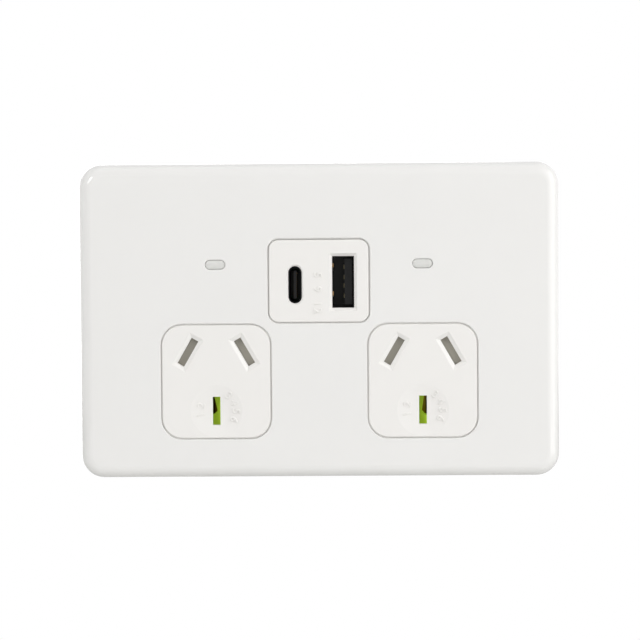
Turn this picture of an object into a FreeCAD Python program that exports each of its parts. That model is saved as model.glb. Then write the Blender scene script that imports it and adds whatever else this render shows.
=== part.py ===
import FreeCAD, Part

import math
import os
import re

import Sketcher
from FreeCAD import Placement, Rotation, Vector

# Double wall socket outlet with two USB charging ports, in millimetres.
# The origin is the centre of the plate on the wall plane, +X is right, +Z is up,
# and the front faces -Y. A "level" is a distance in front of the wall plane,
# so it is positive in the room and negative inside the wall.

SIZES = {
    # Clip-on cover
    "plate_width": 116.0,
    "plate_height": 76.0,
    "corner_radius": 5.5,
    "corner_share": 0.6,
    "projection": 9.0,
    "edge_radius": 3.0,
    "cover_wall": 2.0,
    "cover_lip": 0.6,
    "lip_play": 0.1,
    "seam_gap": 0.3,
    "seam_chamfer": 0.2,
    "pry_notch_width": 8.0,
    "pry_notch_depth": 1.2,
    "hook_width": 6.0,
    "hook_reach": 1.1,
    "hook_height": 1.8,
    "hook_spread": 68.0,
    "hook_play": 0.2,
    # Mounting frame
    "base_thickness": 3.0,
    "rim_gap": 0.4,
    "rim_wall": 1.6,
    "rim_height": 6.0,
    "rebate_depth": 1.4,
    "fit_gap": 0.2,
    "mount_pitch": 84.0,
    "mount_hole_width": 4.0,
    "mount_slot_length": 5.6,
    "mount_head_width": 8.4,
    "mount_recess": 1.0,
    # Socket faces
    "socket_pitch": 50.0,
    "socket_drop": 11.45,
    "face_width": 26.2,
    "face_height": 27.4,
    "face_radius": 4.85,
    "face_drop": 3.2,
    "shoulder": 1.2,
    "turret_wall": 1.7,
    "turret_front": 2.0,
    "slot_length": 7.05,
    "slot_width": 1.86,
    "slot_lean": 30.0,
    "slot_bevel": 0.95,
    "slot_bevel_depth": 0.6,
    "live_offset": 6.86,
    "live_rise": 3.96,
    "earth_length": 6.9,
    "earth_width": 1.88,
    "earth_drop": 10.31,
    "dish_radius": 6.3,
    "dish_depth": 0.55,
    # Shutters
    "shutter_gap": 0.2,
    "shutter_thickness": 1.6,
    "shutter_travel": 2.4,
    "shutter_cover": 0.15,
    "shutter_clear": 0.12,
    "shutter_tail": 6.0,
    "ledge_width": 0.6,
    "cam_overreach": 0.41,
    "cam_lead": 0.6,
    "cam_body": 4.25,
    "cam_height": 8.6,
    "cam_rear": 1.7,
    "relief_nose": 0.1,
    "relief_foot": 1.25,
    "key_width": 3.0,
    "key_length": 3.6,
    "key_head": 4.6,
    "key_head_length": 2.0,
    "retainer_depth": 2.6,
    "retainer_rim": 1.2,
    "pin_clearance": 0.7,
    "spring_strip": 0.35,
    "spring_swing": 4.6,
    "spring_depth": 2.2,
    # Brass contacts
    "leaf": 0.6,
    "mouth_half": 1.6,
    "nip_half": 0.85,
    "throat_half": 1.1,
    "clip_front": 1.0,
    "nip_depth": 2.5,
    "throat_depth": 5.0,
    "clip_depth": 12.0,
    "clip_width": 6.0,
    "strip": 0.8,
    "strip_width": 4.0,
    "bar_stand_off": 3.0,
    # Terminals
    "terminal_pitch": 17.0,
    "terminal_width": 9.0,
    "terminal_depth": 9.0,
    "terminal_height": 10.0,
    "wire_bore_radius": 2.4,
    "wire_bore_cover": 1.2,
    "clamp_screw_radius": 1.6,
    "clamp_screw_end": 0.8,
    "thread_gap": 0.05,
    # Rear housing
    "housing_side": 6.14,
    "housing_head": 2.3,
    "housing_foot": 8.74,
    "housing_radius": 4.0,
    "housing_depth": 30.0,
    "housing_wall": 1.8,
    "housing_edge": 1.2,
    "barrier_width": 26.0,
    "barrier_thickness": 1.4,
    "wire_entry": 6.4,
    "access_gap": 0.5,
    "barrier_end": 8.0,
    "snap_x": 28.0,
    "snap_width": 6.0,
    "snap_wall": 1.4,
    "snap_catch": 4.0,
    "snap_reach": 1.0,
    "snap_nose": 0.6,
    "snap_end": 7.0,
    # USB insert and receptacles
    "insert_width": 24.1,
    "insert_height": 19.9,
    "insert_radius": 2.35,
    "insert_rise": 9.6,
    "insert_gap": 0.06,
    "insert_wall": 1.6,
    "insert_flange": 1.5,
    "flange_thickness": 1.2,
    "collar_wall": 1.2,
    "port_a_x": 5.87,
    "port_a_z": 9.3,
    "port_a_length": 12.5,
    "port_a_width": 5.3,
    "port_a_bevel": 0.7,
    "port_c_x": -5.75,
    "port_c_z": 8.7,
    "port_c_length": 8.94,
    "port_c_width": 3.16,
    "port_c_bevel": 0.35,
    "port_c_recess": 0.5,
    "port_gap": 0.05,
    "port_shell": 0.3,
    "finger_setback": 1.0,
    "finger_rise": 1.2,
    "finger_crest": 0.6,
    "finger_root": 5.5,
    "contact_width": 1.0,
    "contact_pitch": 2.5,
    "tongue_a_length": 11.1,
    "tongue_a_width": 1.84,
    "tongue_a_offset": 1.25,
    "tongue_a_setback": 1.9,
    "tongue_c_length": 6.7,
    "tongue_c_width": 0.7,
    "tongue_c_setback": 1.4,
    "socket_back": 4.2,
    # Boards and parts on them
    "board_level": -3.9,
    "board_thickness": 1.6,
    "board_gap": 0.9,
    "control_board_width": 58.0,
    "board_height": 20.4,
    "board_rise": 11.0,
    "power_board_stand": 2.6,
    "board_post_width": 2.4,
    "board_post_x": 16.5,
    "board_stand_x": 22.5,
    "board_post_pitch": 14.0,
    "relay_height": 15.5,
    "relay_depth": 15.2,
    "core_width": 17.0,
    "core_height": 15.0,
    "core_depth": 6.0,
    "core_leg": 2.8,
    "core_window": 3.0,
    "winding_depth": 12.0,
    "capacitor_radius": 3.1,
    "capacitor_height": 12.0,
    "capacitor_inset": 5.0,
    "header_width": 12.0,
    "header_height": 2.0,
    "header_inset": 1.3,
    "tail_inset": 1.2,
    # Power buttons
    "button_x": 25.05,
    "button_z": 13.65,
    "button_length": 4.6,
    "button_width": 2.0,
    "button_recess": 0.2,
    "button_gap": 0.15,
    "button_travel": 0.5,
    "button_flange": 1.0,
    "button_flange_depth": 1.5,
    "guide_wall": 1.1,
    "stem_radius": 1.4,
    "stem_end": 0.2,
    "switch_width": 6.0,
    "switch_height": 3.5,
    "plunger_width": 3.2,
    "lamp_width": 3.2,
    "lamp_height": 1.6,
    "lamp_depth": 1.2,
    "lamp_offset": 5.0,
}

ALIAS = re.compile("[a-z_]+")

document = FreeCAD.newDocument("wall_socket")
sheet = document.addObject("Spreadsheet::Sheet", "sizes")
for row, (alias, number) in enumerate(SIZES.items(), start=1):
    sheet.set(f"A{row}", alias)
    sheet.set(f"B{row}", str(number))
    sheet.setAlias(f"B{row}", alias)
document.recompute()

sub_parts = []


# Expressions over the sheet

def bound(text):
    """The same expression with the sheet's name before each of its aliases."""
    return ALIAS.sub(lambda word: f"sizes.{word[0]}" if word[0] in SIZES else word[0], str(text))


def value(text):
    """The number that an expression over the sheet comes to."""
    return float(sheet.evalExpression(bound(text)))


def bind(item, **properties):
    """Tie properties to expressions; a double underscore stands for a dot."""
    for name, text in properties.items():
        item.setExpression(name.replace("__", "."), bound(text))


# Bodies and sketches

def origin_feature(body, role):
    return next(item for item in body.Origin.OriginFeatures if item.Role == role)


def new_body(name, x="0", z="0", turn=None, listed=True):
    body = document.addObject("PartDesign::Body", name)
    body.Label = name
    if turn is not None:
        body.Placement = Placement(Vector(), Rotation(Vector(0, 1, 0), value(turn)))
        bind(body, Placement__Rotation__Angle=turn)
    bind(body, Placement__Base__x=x, Placement__Base__z=z)
    if listed:
        sub_parts.append(body)
    return body


def sketch(body, name, x="0", z="0", level="0", turn=None, plane="XZ_Plane"):
    """Sketch on an origin plane, moved in its own axes.

    On XZ_Plane they are X, Z and the level in front of the wall. On XY_Plane they are
    X, Y and Z, and on YZ_Plane they are Y, Z and X.
    """
    item = body.newObject("Sketcher::SketchObject", name)
    item.AttachmentSupport = [(origin_feature(body, plane), "")]
    item.MapMode = "FlatFace"
    if turn is not None:
        item.AttachmentOffset = Placement(Vector(), Rotation(Vector(0, 0, 1), value(turn)))
        bind(item, AttachmentOffset__Rotation__Angle=turn)
    bind(item, AttachmentOffset__Base__x=x, AttachmentOffset__Base__y=z, AttachmentOffset__Base__z=level)
    return item


def constrain(item, kind, *places, size=None):
    """Add one constraint, bound to an expression where it has a size."""
    if size is None:
        item.addConstraint(Sketcher.Constraint(kind, *places))
        return
    index = item.addConstraint(Sketcher.Constraint(kind, *places, value(size)))
    item.setExpression(f"Constraints[{index}]", bound(size))


def polygon(item, points, closed=True):
    """Straight lines through points, each given as two expressions."""
    spots = [Vector(value(across), value(up), 0) for across, up in points]
    count = len(spots)
    lines = count if closed else count - 1
    for index in range(lines):
        item.addGeometry(Part.LineSegment(spots[index], spots[(index + 1) % count]))
    for index in range(lines if closed else lines - 1):
        constrain(item, "Coincident", index, 2, (index + 1) % count, 1)
    for index, (across, up) in enumerate(points):
        line, end = (index, 1) if index < lines else (index - 1, 2)
        constrain(item, "DistanceX", -1, 1, line, end, size=across)
        constrain(item, "DistanceY", -1, 1, line, end, size=up)


def rectangle(item, width, height):
    across = f"({width}) / 2"
    up = f"({height}) / 2"
    polygon(item, [(f"-{across}", f"-{up}"), (across, f"-{up}"), (across, up), (f"-{across}", up)])


def clipped(item, width, height, radius):
    """Rectangle about the sketch's origin, with flats in place of corners of that radius."""
    across = f"({width}) / 2"
    up = f"({height}) / 2"
    cut = f"corner_share * ({radius})"
    polygon(item, [(f"-{across} + {cut}", f"-{up}"), (f"{across} - {cut}", f"-{up}"),
                   (across, f"-{up} + {cut}"), (across, f"{up} - {cut}"),
                   (f"{across} - {cut}", up), (f"-{across} + {cut}", up),
                   (f"-{across}", f"{up} - {cut}"), (f"-{across}", f"-{up} + {cut}")])


def circle(item, radius):
    item.addGeometry(Part.Circle(Vector(), Vector(0, 0, 1), value(radius)))
    constrain(item, "Coincident", 0, 3, -1, 1)
    constrain(item, "Radius", 0, size=radius)


def rounded(item, width, height, radius):
    """Rectangle about the sketch's origin with four equal round corners."""
    across = value(width) / 2
    up = value(height) / 2
    bend = value(radius)
    corners = [(across, up, 0), (-across, up, 90), (-across, -up, 180), (across, -up, 270)]
    for corner_x, corner_z, start in corners:
        centre = Vector(corner_x - bend if corner_x > 0 else corner_x + bend,
                        corner_z - bend if corner_z > 0 else corner_z + bend, 0)
        ring = Part.Circle(centre, Vector(0, 0, 1), bend)
        item.addGeometry(Part.ArcOfCircle(ring, math.radians(start), math.radians(start + 90)))
    ends = [(item.Geometry[index].EndPoint, item.Geometry[(index + 1) % 4].StartPoint) for index in range(4)]
    for start, end in ends:
        item.addGeometry(Part.LineSegment(start, end))
    for index in range(4):
        constrain(item, "Tangent", index, 2, 4 + index, 1)
        constrain(item, "Tangent", 4 + index, 2, (index + 1) % 4, 1)
    for index in range(1, 4):
        constrain(item, "Equal", 0, index)
    constrain(item, "Horizontal", 4)
    constrain(item, "Vertical", 5)
    constrain(item, "Radius", 0, size=radius)
    constrain(item, "DistanceX", -1, 1, 0, 1, size=f"({width}) / 2")
    constrain(item, "DistanceX", 1, 2, -1, 1, size=f"({width}) / 2")
    constrain(item, "DistanceY", -1, 1, 0, 2, size=f"({height}) / 2")
    constrain(item, "DistanceY", 2, 2, -1, 1, size=f"({height}) / 2")


def stadium(item, length, width, upright=False):
    """Slot outline with round ends, about the sketch's origin."""
    reach = value(f"(({length}) - ({width})) / 2")
    half = value(width) / 2
    first = Vector(0, reach, 0) if upright else Vector(reach, 0, 0)
    start = 0 if upright else -math.pi / 2
    for centre, angle in ((first, start), (-first, start + math.pi)):
        ring = Part.Circle(centre, Vector(0, 0, 1), half)
        item.addGeometry(Part.ArcOfCircle(ring, angle, angle + math.pi))
    for index in range(2):
        other = item.Geometry[1 - index]
        item.addGeometry(Part.LineSegment(item.Geometry[index].EndPoint, other.StartPoint))
    for index in range(2):
        constrain(item, "Tangent", index, 2, 2 + index, 1)
        constrain(item, "Tangent", 2 + index, 2, 1 - index, 1)
    constrain(item, "Equal", 0, 1)
    constrain(item, "Radius", 0, size=f"({width}) / 2")
    along, beside = ("DistanceY", "DistanceX") if upright else ("DistanceX", "DistanceY")
    constrain(item, along, -1, 1, 0, 3, size=f"(({length}) - ({width})) / 2")
    constrain(item, along, 1, 3, -1, 1, size=f"(({length}) - ({width})) / 2")
    constrain(item, beside, -1, 1, 0, 3, size="0")
    constrain(item, beside, -1, 1, 1, 3, size="0")


# Features

def feature(body, kind, name, **settings):
    item = body.newObject(f"PartDesign::{kind}", name)
    item.Refine = False
    for key, setting in settings.items():
        setattr(item, key, setting)
    body.Tip = item
    return item


def pad(body, name, profile, length, inward=False):
    """Material from a profile, outward from the wall unless inward is set."""
    item = feature(body, "Pad", name, Profile=profile, Reversed=inward)
    bind(item, Length=length)
    document.recompute()
    return item


def pocket(body, name, profile, depth, outward=False):
    """Cut from a profile, towards the wall unless outward is set, and proved by volume."""
    before = body.Shape.Volume
    item = feature(body, "Pocket", name, Profile=profile, Reversed=outward)
    bind(item, Length=depth)
    document.recompute()
    if body.Shape.Volume >= before:
        raise RuntimeError(f"{name} cuts nothing")
    return item


def mirrored(body, name, originals, plane="YZ_Plane"):
    """Repeat some features beyond an origin plane, or the whole body where none is given."""
    item = feature(body, "Mirrored", name)
    if originals:
        item.Originals = originals
    else:
        item.TransformMode = "Whole shape"
    item.MirrorPlane = (origin_feature(body, plane), [""])
    document.recompute()
    return item


def row(body, name, originals, axis, length, count):
    item = feature(body, "LinearPattern", name, Originals=originals, Occurrences=count)
    item.Direction = (origin_feature(body, axis), [""])
    bind(item, Length=length)
    document.recompute()
    return item


def edge_names(shape, test):
    return [f"Edge{index}" for index, edge in enumerate(shape.Edges, start=1) if test(edge)]


def rim_names(shape, level, inner, test=lambda edge: True):
    """Edges round the openings, or round the outlines, of the flat faces at one level."""
    wanted = []
    for face in shape.Faces:
        box = face.BoundBox
        if abs(box.YMin + level) > 1e-4 or abs(box.YMax + level) > 1e-4:
            continue
        outline = face.OuterWire
        wires = [wire for wire in face.Wires if wire.isSame(outline) != inner]
        wanted += [edge for wire in wires for edge in wire.Edges if test(edge)]
    return edge_names(shape, lambda edge: any(edge.isSame(other) for other in wanted))


def dress(body, kind, name, names, size):
    """Fillet or chamfer of named edges of the body's last feature."""
    base = body.Tip
    item = feature(body, kind, name, Base=(base, names))
    bind(item, **{"Radius" if kind == "Fillet" else "Size": size})
    document.recompute()
    return item


# Plain solids by their limits

def block(name, x_range, level_range, z_range):
    """Box between two values of X, level and Z."""
    item = document.addObject("Part::Box", name)
    bind(item,
         Length=f"({x_range[1]}) - ({x_range[0]})",
         Width=f"({level_range[1]}) - ({level_range[0]})",
         Height=f"({z_range[1]}) - ({z_range[0]})",
         Placement__Base__x=x_range[0],
         Placement__Base__y=f"-({level_range[1]})",
         Placement__Base__z=z_range[0])
    return item


def fused(name, pieces):
    """One stamped piece made of overlapping or touching shapes."""
    item = document.addObject("Part::MultiFuse", name)
    item.Label = name
    item.Shapes = pieces
    item.Refine = True
    document.recompute()
    sub_parts.append(item)
    return item


# Levels and places that several pieces share

COVER_BACK = "(projection - cover_wall)"
SHOULDER_LEVEL = "(projection - cover_lip - lip_play)"
TRACK_LEVEL = "(projection - turret_front)"
SHUTTER_FRONT = "(projection - turret_front - shutter_gap)"
SHUTTER_BACK = "(projection - turret_front - shutter_gap - shutter_thickness)"
LEDGE_LEVEL = "(projection - turret_front - 2 * shutter_gap - shutter_thickness)"
CAVITY_WIDTH = "(face_width + 2 * shoulder - 2 * turret_wall)"
CAVITY_HEIGHT = "(face_height + 2 * shoulder - 2 * turret_wall)"
FACE_Z = "(-socket_drop - face_drop)"
LIVE_Z = "(-socket_drop + live_rise)"
EARTH_Z = "(-socket_drop - earth_drop)"
BOARD_FOOT = "(board_rise - board_height / 2)"
HOUSING_WIDTH = "(socket_pitch + 2 * live_offset + 2 * housing_side)"
HOUSING_TOP = "(board_rise + board_height / 2 + housing_head)"
HOUSING_FOOT = "(-socket_drop - earth_drop - housing_foot)"
HOUSING_HEIGHT = f"({HOUSING_TOP} - {HOUSING_FOOT})"
HOUSING_Z = f"(({HOUSING_TOP} + {HOUSING_FOOT}) / 2)"
HOUSING_FLOOR = "(housing_wall - housing_depth)"
HOUSING_BOTTOM = f"({HOUSING_FOOT} + housing_wall)"
CAPACITOR_X = f"({HOUSING_WIDTH} / 2 - housing_wall - board_gap - capacitor_radius)"
CLIP_REAR = "(clip_front - clip_depth)"
RISER_TOP = f"({BOARD_FOOT} + tail_inset)"
POWER_BOARD_LEVEL = "(housing_wall - housing_depth + power_board_stand + board_thickness)"
TERMINAL_Z = f"({HOUSING_BOTTOM} + fit_gap / 2 + terminal_height / 2)"
TERMINAL_BACK = f"({HOUSING_FLOOR} + fit_gap)"
BORE_LEVEL = f"({TERMINAL_BACK} + terminal_depth - wire_bore_cover - wire_bore_radius)"
BUTTON_FRONT = "(projection - button_recess)"
FLANGE_FRONT = "(projection - cover_lip - lip_play)"
GUIDE_LENGTH = "(button_length + 2 * button_flange + 2 * button_gap + 2 * guide_wall)"
GUIDE_WIDTH = "(button_width + 2 * button_flange + 2 * button_gap + 2 * guide_wall)"
SLOT_REACH = "(slot_width / 2 / cos(slot_lean * 1 deg))"
SLOT_HALF_RISE = "(slot_length / 2 * cos(slot_lean * 1 deg) + slot_width / 2 * sin(slot_lean * 1 deg))"
PORT_A_FRONT = "(projection - insert_wall - port_gap)"
PORT_C_FRONT = "(projection - port_c_recess)"
SIDES = {1: "right", -1: "left"}


def face_cover():
    """Gloss cover that clips over the frame and hides the fixing screws."""
    body = new_body("face_cover")
    outline = sketch(body, "cover_outline")
    rounded(outline, "plate_width", "plate_height", "corner_radius")
    pad(body, "cover_block", outline, "projection")
    level = value("projection")
    dress(body, "Fillet", "cover_edge", rim_names(body.Shape, level, inner=False), "edge_radius")

    hollow = sketch(body, "cover_hollow")
    clipped(hollow, "plate_width - 2 * cover_wall", "plate_height - 2 * cover_wall",
            "corner_radius - cover_wall")
    pocket(body, "cover_inside", hollow, COVER_BACK, outward=True)
    dress(body, "Chamfer", "cover_inner_edge", rim_names(body.Shape, value(COVER_BACK), inner=False),
          "max(edge_radius - cover_wall; seam_chamfer)")

    window = sketch(body, "socket_window", x="socket_pitch / 2", z=FACE_Z, level="projection")
    rounded(window, "face_width + 2 * seam_gap", "face_height + 2 * seam_gap", "face_radius + seam_gap")
    socket_window = pocket(body, "socket_window_cut", window, "cover_wall")
    lip = sketch(body, "socket_lip", x="socket_pitch / 2", z=FACE_Z, level=COVER_BACK)
    clipped(lip, "face_width + 2 * shoulder + 2 * fit_gap", "face_height + 2 * shoulder + 2 * fit_gap",
            "face_radius + shoulder + fit_gap")
    socket_lip = pocket(body, "socket_lip_cut", lip, "cover_wall - cover_lip", outward=True)
    pill = sketch(body, "button_window", x="button_x", z="button_z", level="projection")
    stadium(pill, "button_length + 2 * button_gap", "button_width + 2 * button_gap")
    button_window = pocket(body, "button_window_cut", pill, "cover_wall")
    lip = sketch(body, "button_lip", x="button_x", z="button_z", level=COVER_BACK)
    rectangle(lip, f"{GUIDE_LENGTH} + 2 * fit_gap", f"{GUIDE_WIDTH} + 2 * fit_gap")
    button_lip = pocket(body, "button_lip_cut", lip, "cover_wall - cover_lip", outward=True)
    mirrored(body, "left_windows", [socket_window, socket_lip, button_window, button_lip])
    middle = sketch(body, "usb_window", z="insert_rise", level="projection")
    rounded(middle, "insert_width + 2 * seam_gap", "insert_height + 2 * seam_gap",
            "insert_radius + seam_gap")
    pocket(body, "usb_window_cut", middle, "cover_wall")
    around = "2 * (insert_gap + collar_wall + fit_gap)"
    usb_lip = sketch(body, "usb_lip", z="insert_rise", level=COVER_BACK)
    clipped(usb_lip, f"insert_width + {around}", f"insert_height + {around}",
            "insert_radius + insert_gap + collar_wall + fit_gap")
    pocket(body, "usb_lip_cut", usb_lip, "cover_wall - cover_lip", outward=True)
    dress(body, "Chamfer", "window_edges", rim_names(body.Shape, level, inner=True), "seam_chamfer")

    notch = sketch(body, "pry_notch", z="-plate_height / 2")
    rectangle(notch, "pry_notch_width", "4 * cover_wall")
    pocket(body, "pry_notch_cut", notch, "pry_notch_depth", outward=True)

    hooks = []
    for name, side in (("upper", 1), ("lower", -1)):
        wall = f"{side} * (plate_height / 2 - cover_wall)"
        tip = f"{side} * (plate_height / 2 - cover_wall - hook_reach)"
        sunk = f"{side} * (plate_height / 2 - cover_wall / 2)"
        catch = "-(base_thickness + hook_play + hook_height)"
        profile = sketch(body, f"{name}_hook", level="(hook_spread - hook_width) / 2", plane="YZ_Plane")
        polygon(profile, [("-(base_thickness + hook_play)", sunk), ("-(base_thickness + hook_play)", wall),
                          ("-(base_thickness + hook_play + hook_height * 0.6)", tip),
                          (catch, tip), (catch, sunk)])
        hooks.append(pad(body, f"{name}_hook_solid", profile, "hook_width"))
    mirrored(body, "left_hooks", hooks)


def socket_front():
    """Frame that screws to the wall box, with both socket faces standing on it."""
    body = new_body("socket_front")
    frame_width = "plate_width - 2 * cover_wall - 2 * rim_gap"
    frame_height = "plate_height - 2 * cover_wall - 2 * rim_gap"
    frame_radius = "corner_radius - cover_wall - rim_gap"
    outline = sketch(body, "frame_outline")
    clipped(outline, frame_width, frame_height, frame_radius)
    pad(body, "frame_block", outline, "rim_height")
    tray = sketch(body, "frame_tray", level="rim_height")
    clipped(tray, f"{frame_width} - 2 * rim_wall", f"{frame_height} - 2 * rim_wall",
            f"{frame_radius} - rim_wall")
    pocket(body, "frame_tray_cut", tray, "rim_height - base_thickness")
    rebate = sketch(body, "housing_rebate", z=HOUSING_Z)
    rounded(rebate, f"{HOUSING_WIDTH} + 2 * fit_gap", f"{HOUSING_HEIGHT} + 2 * fit_gap",
            "housing_radius + fit_gap")
    pocket(body, "housing_rebate_cut", rebate, "rebate_depth", outward=True)

    collar = sketch(body, "usb_collar", z="insert_rise", level="base_thickness / 2")
    clipped(collar, "insert_width + 2 * insert_gap + 2 * collar_wall",
            "insert_height + 2 * insert_gap + 2 * collar_wall", "insert_radius + insert_gap + collar_wall")
    pad(body, "usb_collar_wall", collar, f"{SHOULDER_LEVEL} - base_thickness / 2")
    opening = sketch(body, "usb_opening", z="insert_rise")
    rounded(opening, "insert_width + 2 * insert_gap", "insert_height + 2 * insert_gap",
            "insert_radius + insert_gap")
    pocket(body, "usb_opening_cut", opening, "projection", outward=True)

    spare = sketch(body, "left_half_outline", x="-plate_width / 2", level="projection")
    rectangle(spare, "plate_width", "plate_height")
    pocket(body, "left_half_cut", spare, "2 * projection")
    socket_turret(body)
    button_guide(body)
    frame_hooks(body)
    frame_fixings(body)
    mirrored(body, "left_half", None)

    level = value("projection")
    dress(body, "Chamfer", "face_edges", rim_names(body.Shape, level, inner=False), "seam_chamfer")


def socket_turret(body):
    """Right socket: shouldered block, cavity behind it, three slots and the dish."""
    centre_x = "socket_pitch / 2"
    base = sketch(body, "turret_base", x=centre_x, z=FACE_Z, level="base_thickness / 2")
    clipped(base, "face_width + 2 * shoulder", "face_height + 2 * shoulder", "face_radius + shoulder")
    shoulder = pad(body, "turret_shoulder", base, f"{SHOULDER_LEVEL} - base_thickness / 2")
    face = sketch(body, "turret_face", x=centre_x, z=FACE_Z, level=TRACK_LEVEL)
    rounded(face, "face_width", "face_height", "face_radius")
    front = pad(body, "turret_front_block", face, "turret_front")

    hollow = sketch(body, "turret_hollow", x=centre_x, z=FACE_Z)
    clipped(hollow, CAVITY_WIDTH, CAVITY_HEIGHT, "face_radius + shoulder - turret_wall")
    cavity = pocket(body, "turret_cavity", hollow, LEDGE_LEVEL, outward=True)
    channel = sketch(body, "shutter_track", x=centre_x, z=FACE_Z)
    clipped(channel, CAVITY_WIDTH, f"{CAVITY_HEIGHT} - 2 * ledge_width",
            "face_radius + shoulder - turret_wall")
    track = pocket(body, "shutter_track_cut", channel, TRACK_LEVEL, outward=True)

    cuts = []
    for name, side in (("active", -1), ("neutral", 1)):
        place_x = f"{centre_x} + {side} * live_offset"
        lean = f"{side} * slot_lean"
        slot = sketch(body, f"{name}_slot", x=place_x, z=LIVE_Z, level="projection", turn=lean)
        rectangle(slot, "slot_width", "slot_length")
        cuts.append(pocket(body, f"{name}_slot_cut", slot, "1.5 * turret_front"))
        mouth = sketch(body, f"{name}_mouth", x=place_x, z=LIVE_Z, level="projection", turn=lean)
        rectangle(mouth, "slot_width + 2 * slot_bevel", "slot_length + 2 * slot_bevel")
        throat = sketch(body, f"{name}_throat", x=place_x, z=LIVE_Z, level="projection - slot_bevel_depth",
                        turn=lean)
        rectangle(throat, "slot_width", "slot_length")
        bevel = feature(body, "SubtractiveLoft", f"{name}_bevel", Profile=mouth, Sections=[throat],
                        Ruled=True)
        document.recompute()
        cuts.append(bevel)

    earth = sketch(body, "earth_slot", x=centre_x, z=EARTH_Z, level="projection")
    rectangle(earth, "earth_width", "earth_length")
    cuts.append(pocket(body, "earth_slot_cut", earth, "1.5 * turret_front"))
    cuts.append(earth_dish(body, centre_x))
    return [shoulder, front, cavity, track] + cuts


def earth_dish(body, centre_x):
    """Shallow round hollow about the earth slot, cut from a sphere."""
    bend = "((dish_radius ^ 2 + dish_depth ^ 2) / (2 * dish_depth))"
    profile = sketch(body, "dish_profile", x=centre_x, z="-projection", level=EARTH_Z, plane="XY_Plane")
    reach = value("dish_radius")
    centre = Vector(0, value("dish_depth") - value(bend), 0)
    low = Vector(0, value("dish_depth"), 0)
    middle = (Vector(reach, 0, 0) + low - centre * 2).normalize() * value(bend) + centre
    profile.addGeometry(Part.Arc(Vector(reach, 0, 0), middle, low))
    profile.addGeometry(Part.LineSegment(low, Vector()))
    profile.addGeometry(Part.LineSegment(Vector(), Vector(reach, 0, 0)))
    constrain(profile, "Coincident", 0, 2, 1, 1)
    constrain(profile, "Coincident", 1, 2, 2, 1)
    constrain(profile, "Coincident", 2, 2, 0, 1)
    constrain(profile, "Coincident", 1, 2, -1, 1)
    constrain(profile, "Vertical", 1)
    constrain(profile, "Horizontal", 2)
    constrain(profile, "DistanceX", -1, 1, 2, 2, size="dish_radius")
    constrain(profile, "DistanceY", -1, 1, 1, 1, size="dish_depth")
    constrain(profile, "Radius", 0, size=bend)
    before = body.Shape.Volume
    dish = feature(body, "Groove", "earth_dish", Profile=profile)
    dish.ReferenceAxis = (profile, ["V_Axis"])
    dish.Angle = 360
    document.recompute()
    if body.Shape.Volume >= before:
        raise RuntimeError("the dish cuts nothing")
    return dish


def button_guide(body):
    """Well that guides the right button's flange, with a hole for its stem."""
    flange_length = "button_length + 2 * button_flange"
    flange_width = "button_width + 2 * button_flange"
    well = sketch(body, "guide_well", x="button_x", z="button_z", level="base_thickness / 2")
    rectangle(well, GUIDE_LENGTH, GUIDE_WIDTH)
    wall = pad(body, "guide_wall_solid", well,
               f"{FLANGE_FRONT} - button_flange_depth / 2 - base_thickness / 2")
    inside = sketch(body, "guide_inside", x="button_x", z="button_z", level="base_thickness")
    rectangle(inside, f"{flange_length} + 2 * button_gap", f"{flange_width} + 2 * button_gap")
    well_cut = pocket(body, "guide_inside_cut", inside, "projection", outward=True)
    stem = sketch(body, "stem_hole", x="button_x", z="button_z")
    circle(stem, "stem_radius + button_gap")
    return [wall, well_cut, pocket(body, "stem_hole_cut", stem, "projection", outward=True)]


def frame_hooks(body):
    """Right snap hooks that hold the housing, and posts that the front board rests on."""
    items = []
    for name, side, wall in (("upper", "1", HOUSING_TOP), ("lower", "-1", HOUSING_FOOT)):
        inner = f"{wall} + {side} * fit_gap"
        outer = f"{wall} + {side} * (fit_gap + snap_wall)"
        tip = f"{wall} - {side} * snap_reach"
        hook = sketch(body, f"{name}_snap", level="snap_x - snap_width / 2", plane="YZ_Plane")
        polygon(hook, [("-base_thickness / 2", inner), ("snap_catch", inner), ("snap_catch", tip),
                       ("snap_catch + snap_nose", tip), ("snap_end", inner), ("snap_end", outer),
                       ("-base_thickness / 2", outer)])
        items.append(pad(body, f"{name}_snap_solid", hook, "snap_width"))
        post = sketch(body, f"{name}_post", x="board_post_x",
                      z=f"board_rise + {side} * board_post_pitch / 2", level="rebate_depth + fit_gap")
        rectangle(post, "board_post_width", "board_post_width")
        items.append(pad(body, f"{name}_post_solid", post, "rebate_depth + fit_gap - board_level",
                         inward=True))
    return items


def frame_fixings(body):
    """Right slot for the wall-box screw, and the windows that the cover's hooks catch in."""
    seat = sketch(body, "mount_seat", x="mount_pitch / 2", level="base_thickness")
    stadium(seat, "mount_head_width + mount_slot_length - mount_hole_width", "mount_head_width")
    items = [pocket(body, "mount_seat_cut", seat, "mount_recess")]
    slot = sketch(body, "mount_slot", x="mount_pitch / 2", level="base_thickness")
    stadium(slot, "mount_slot_length", "mount_hole_width")
    items.append(pocket(body, "mount_slot_cut", slot, "2 * base_thickness"))
    for name, side in (("upper", 1), ("lower", -1)):
        window = sketch(body, f"{name}_catch", x="hook_spread / 2", z=f"{side} * plate_height / 2",
                        level="base_thickness + 2 * hook_play + hook_height")
        rectangle(window, "hook_width + 2 * hook_play", "2 * (cover_wall + rim_gap + rim_wall)")
        items.append(pocket(body, f"{name}_catch_cut", window, "2 * hook_play + hook_height"))
    return items


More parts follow.
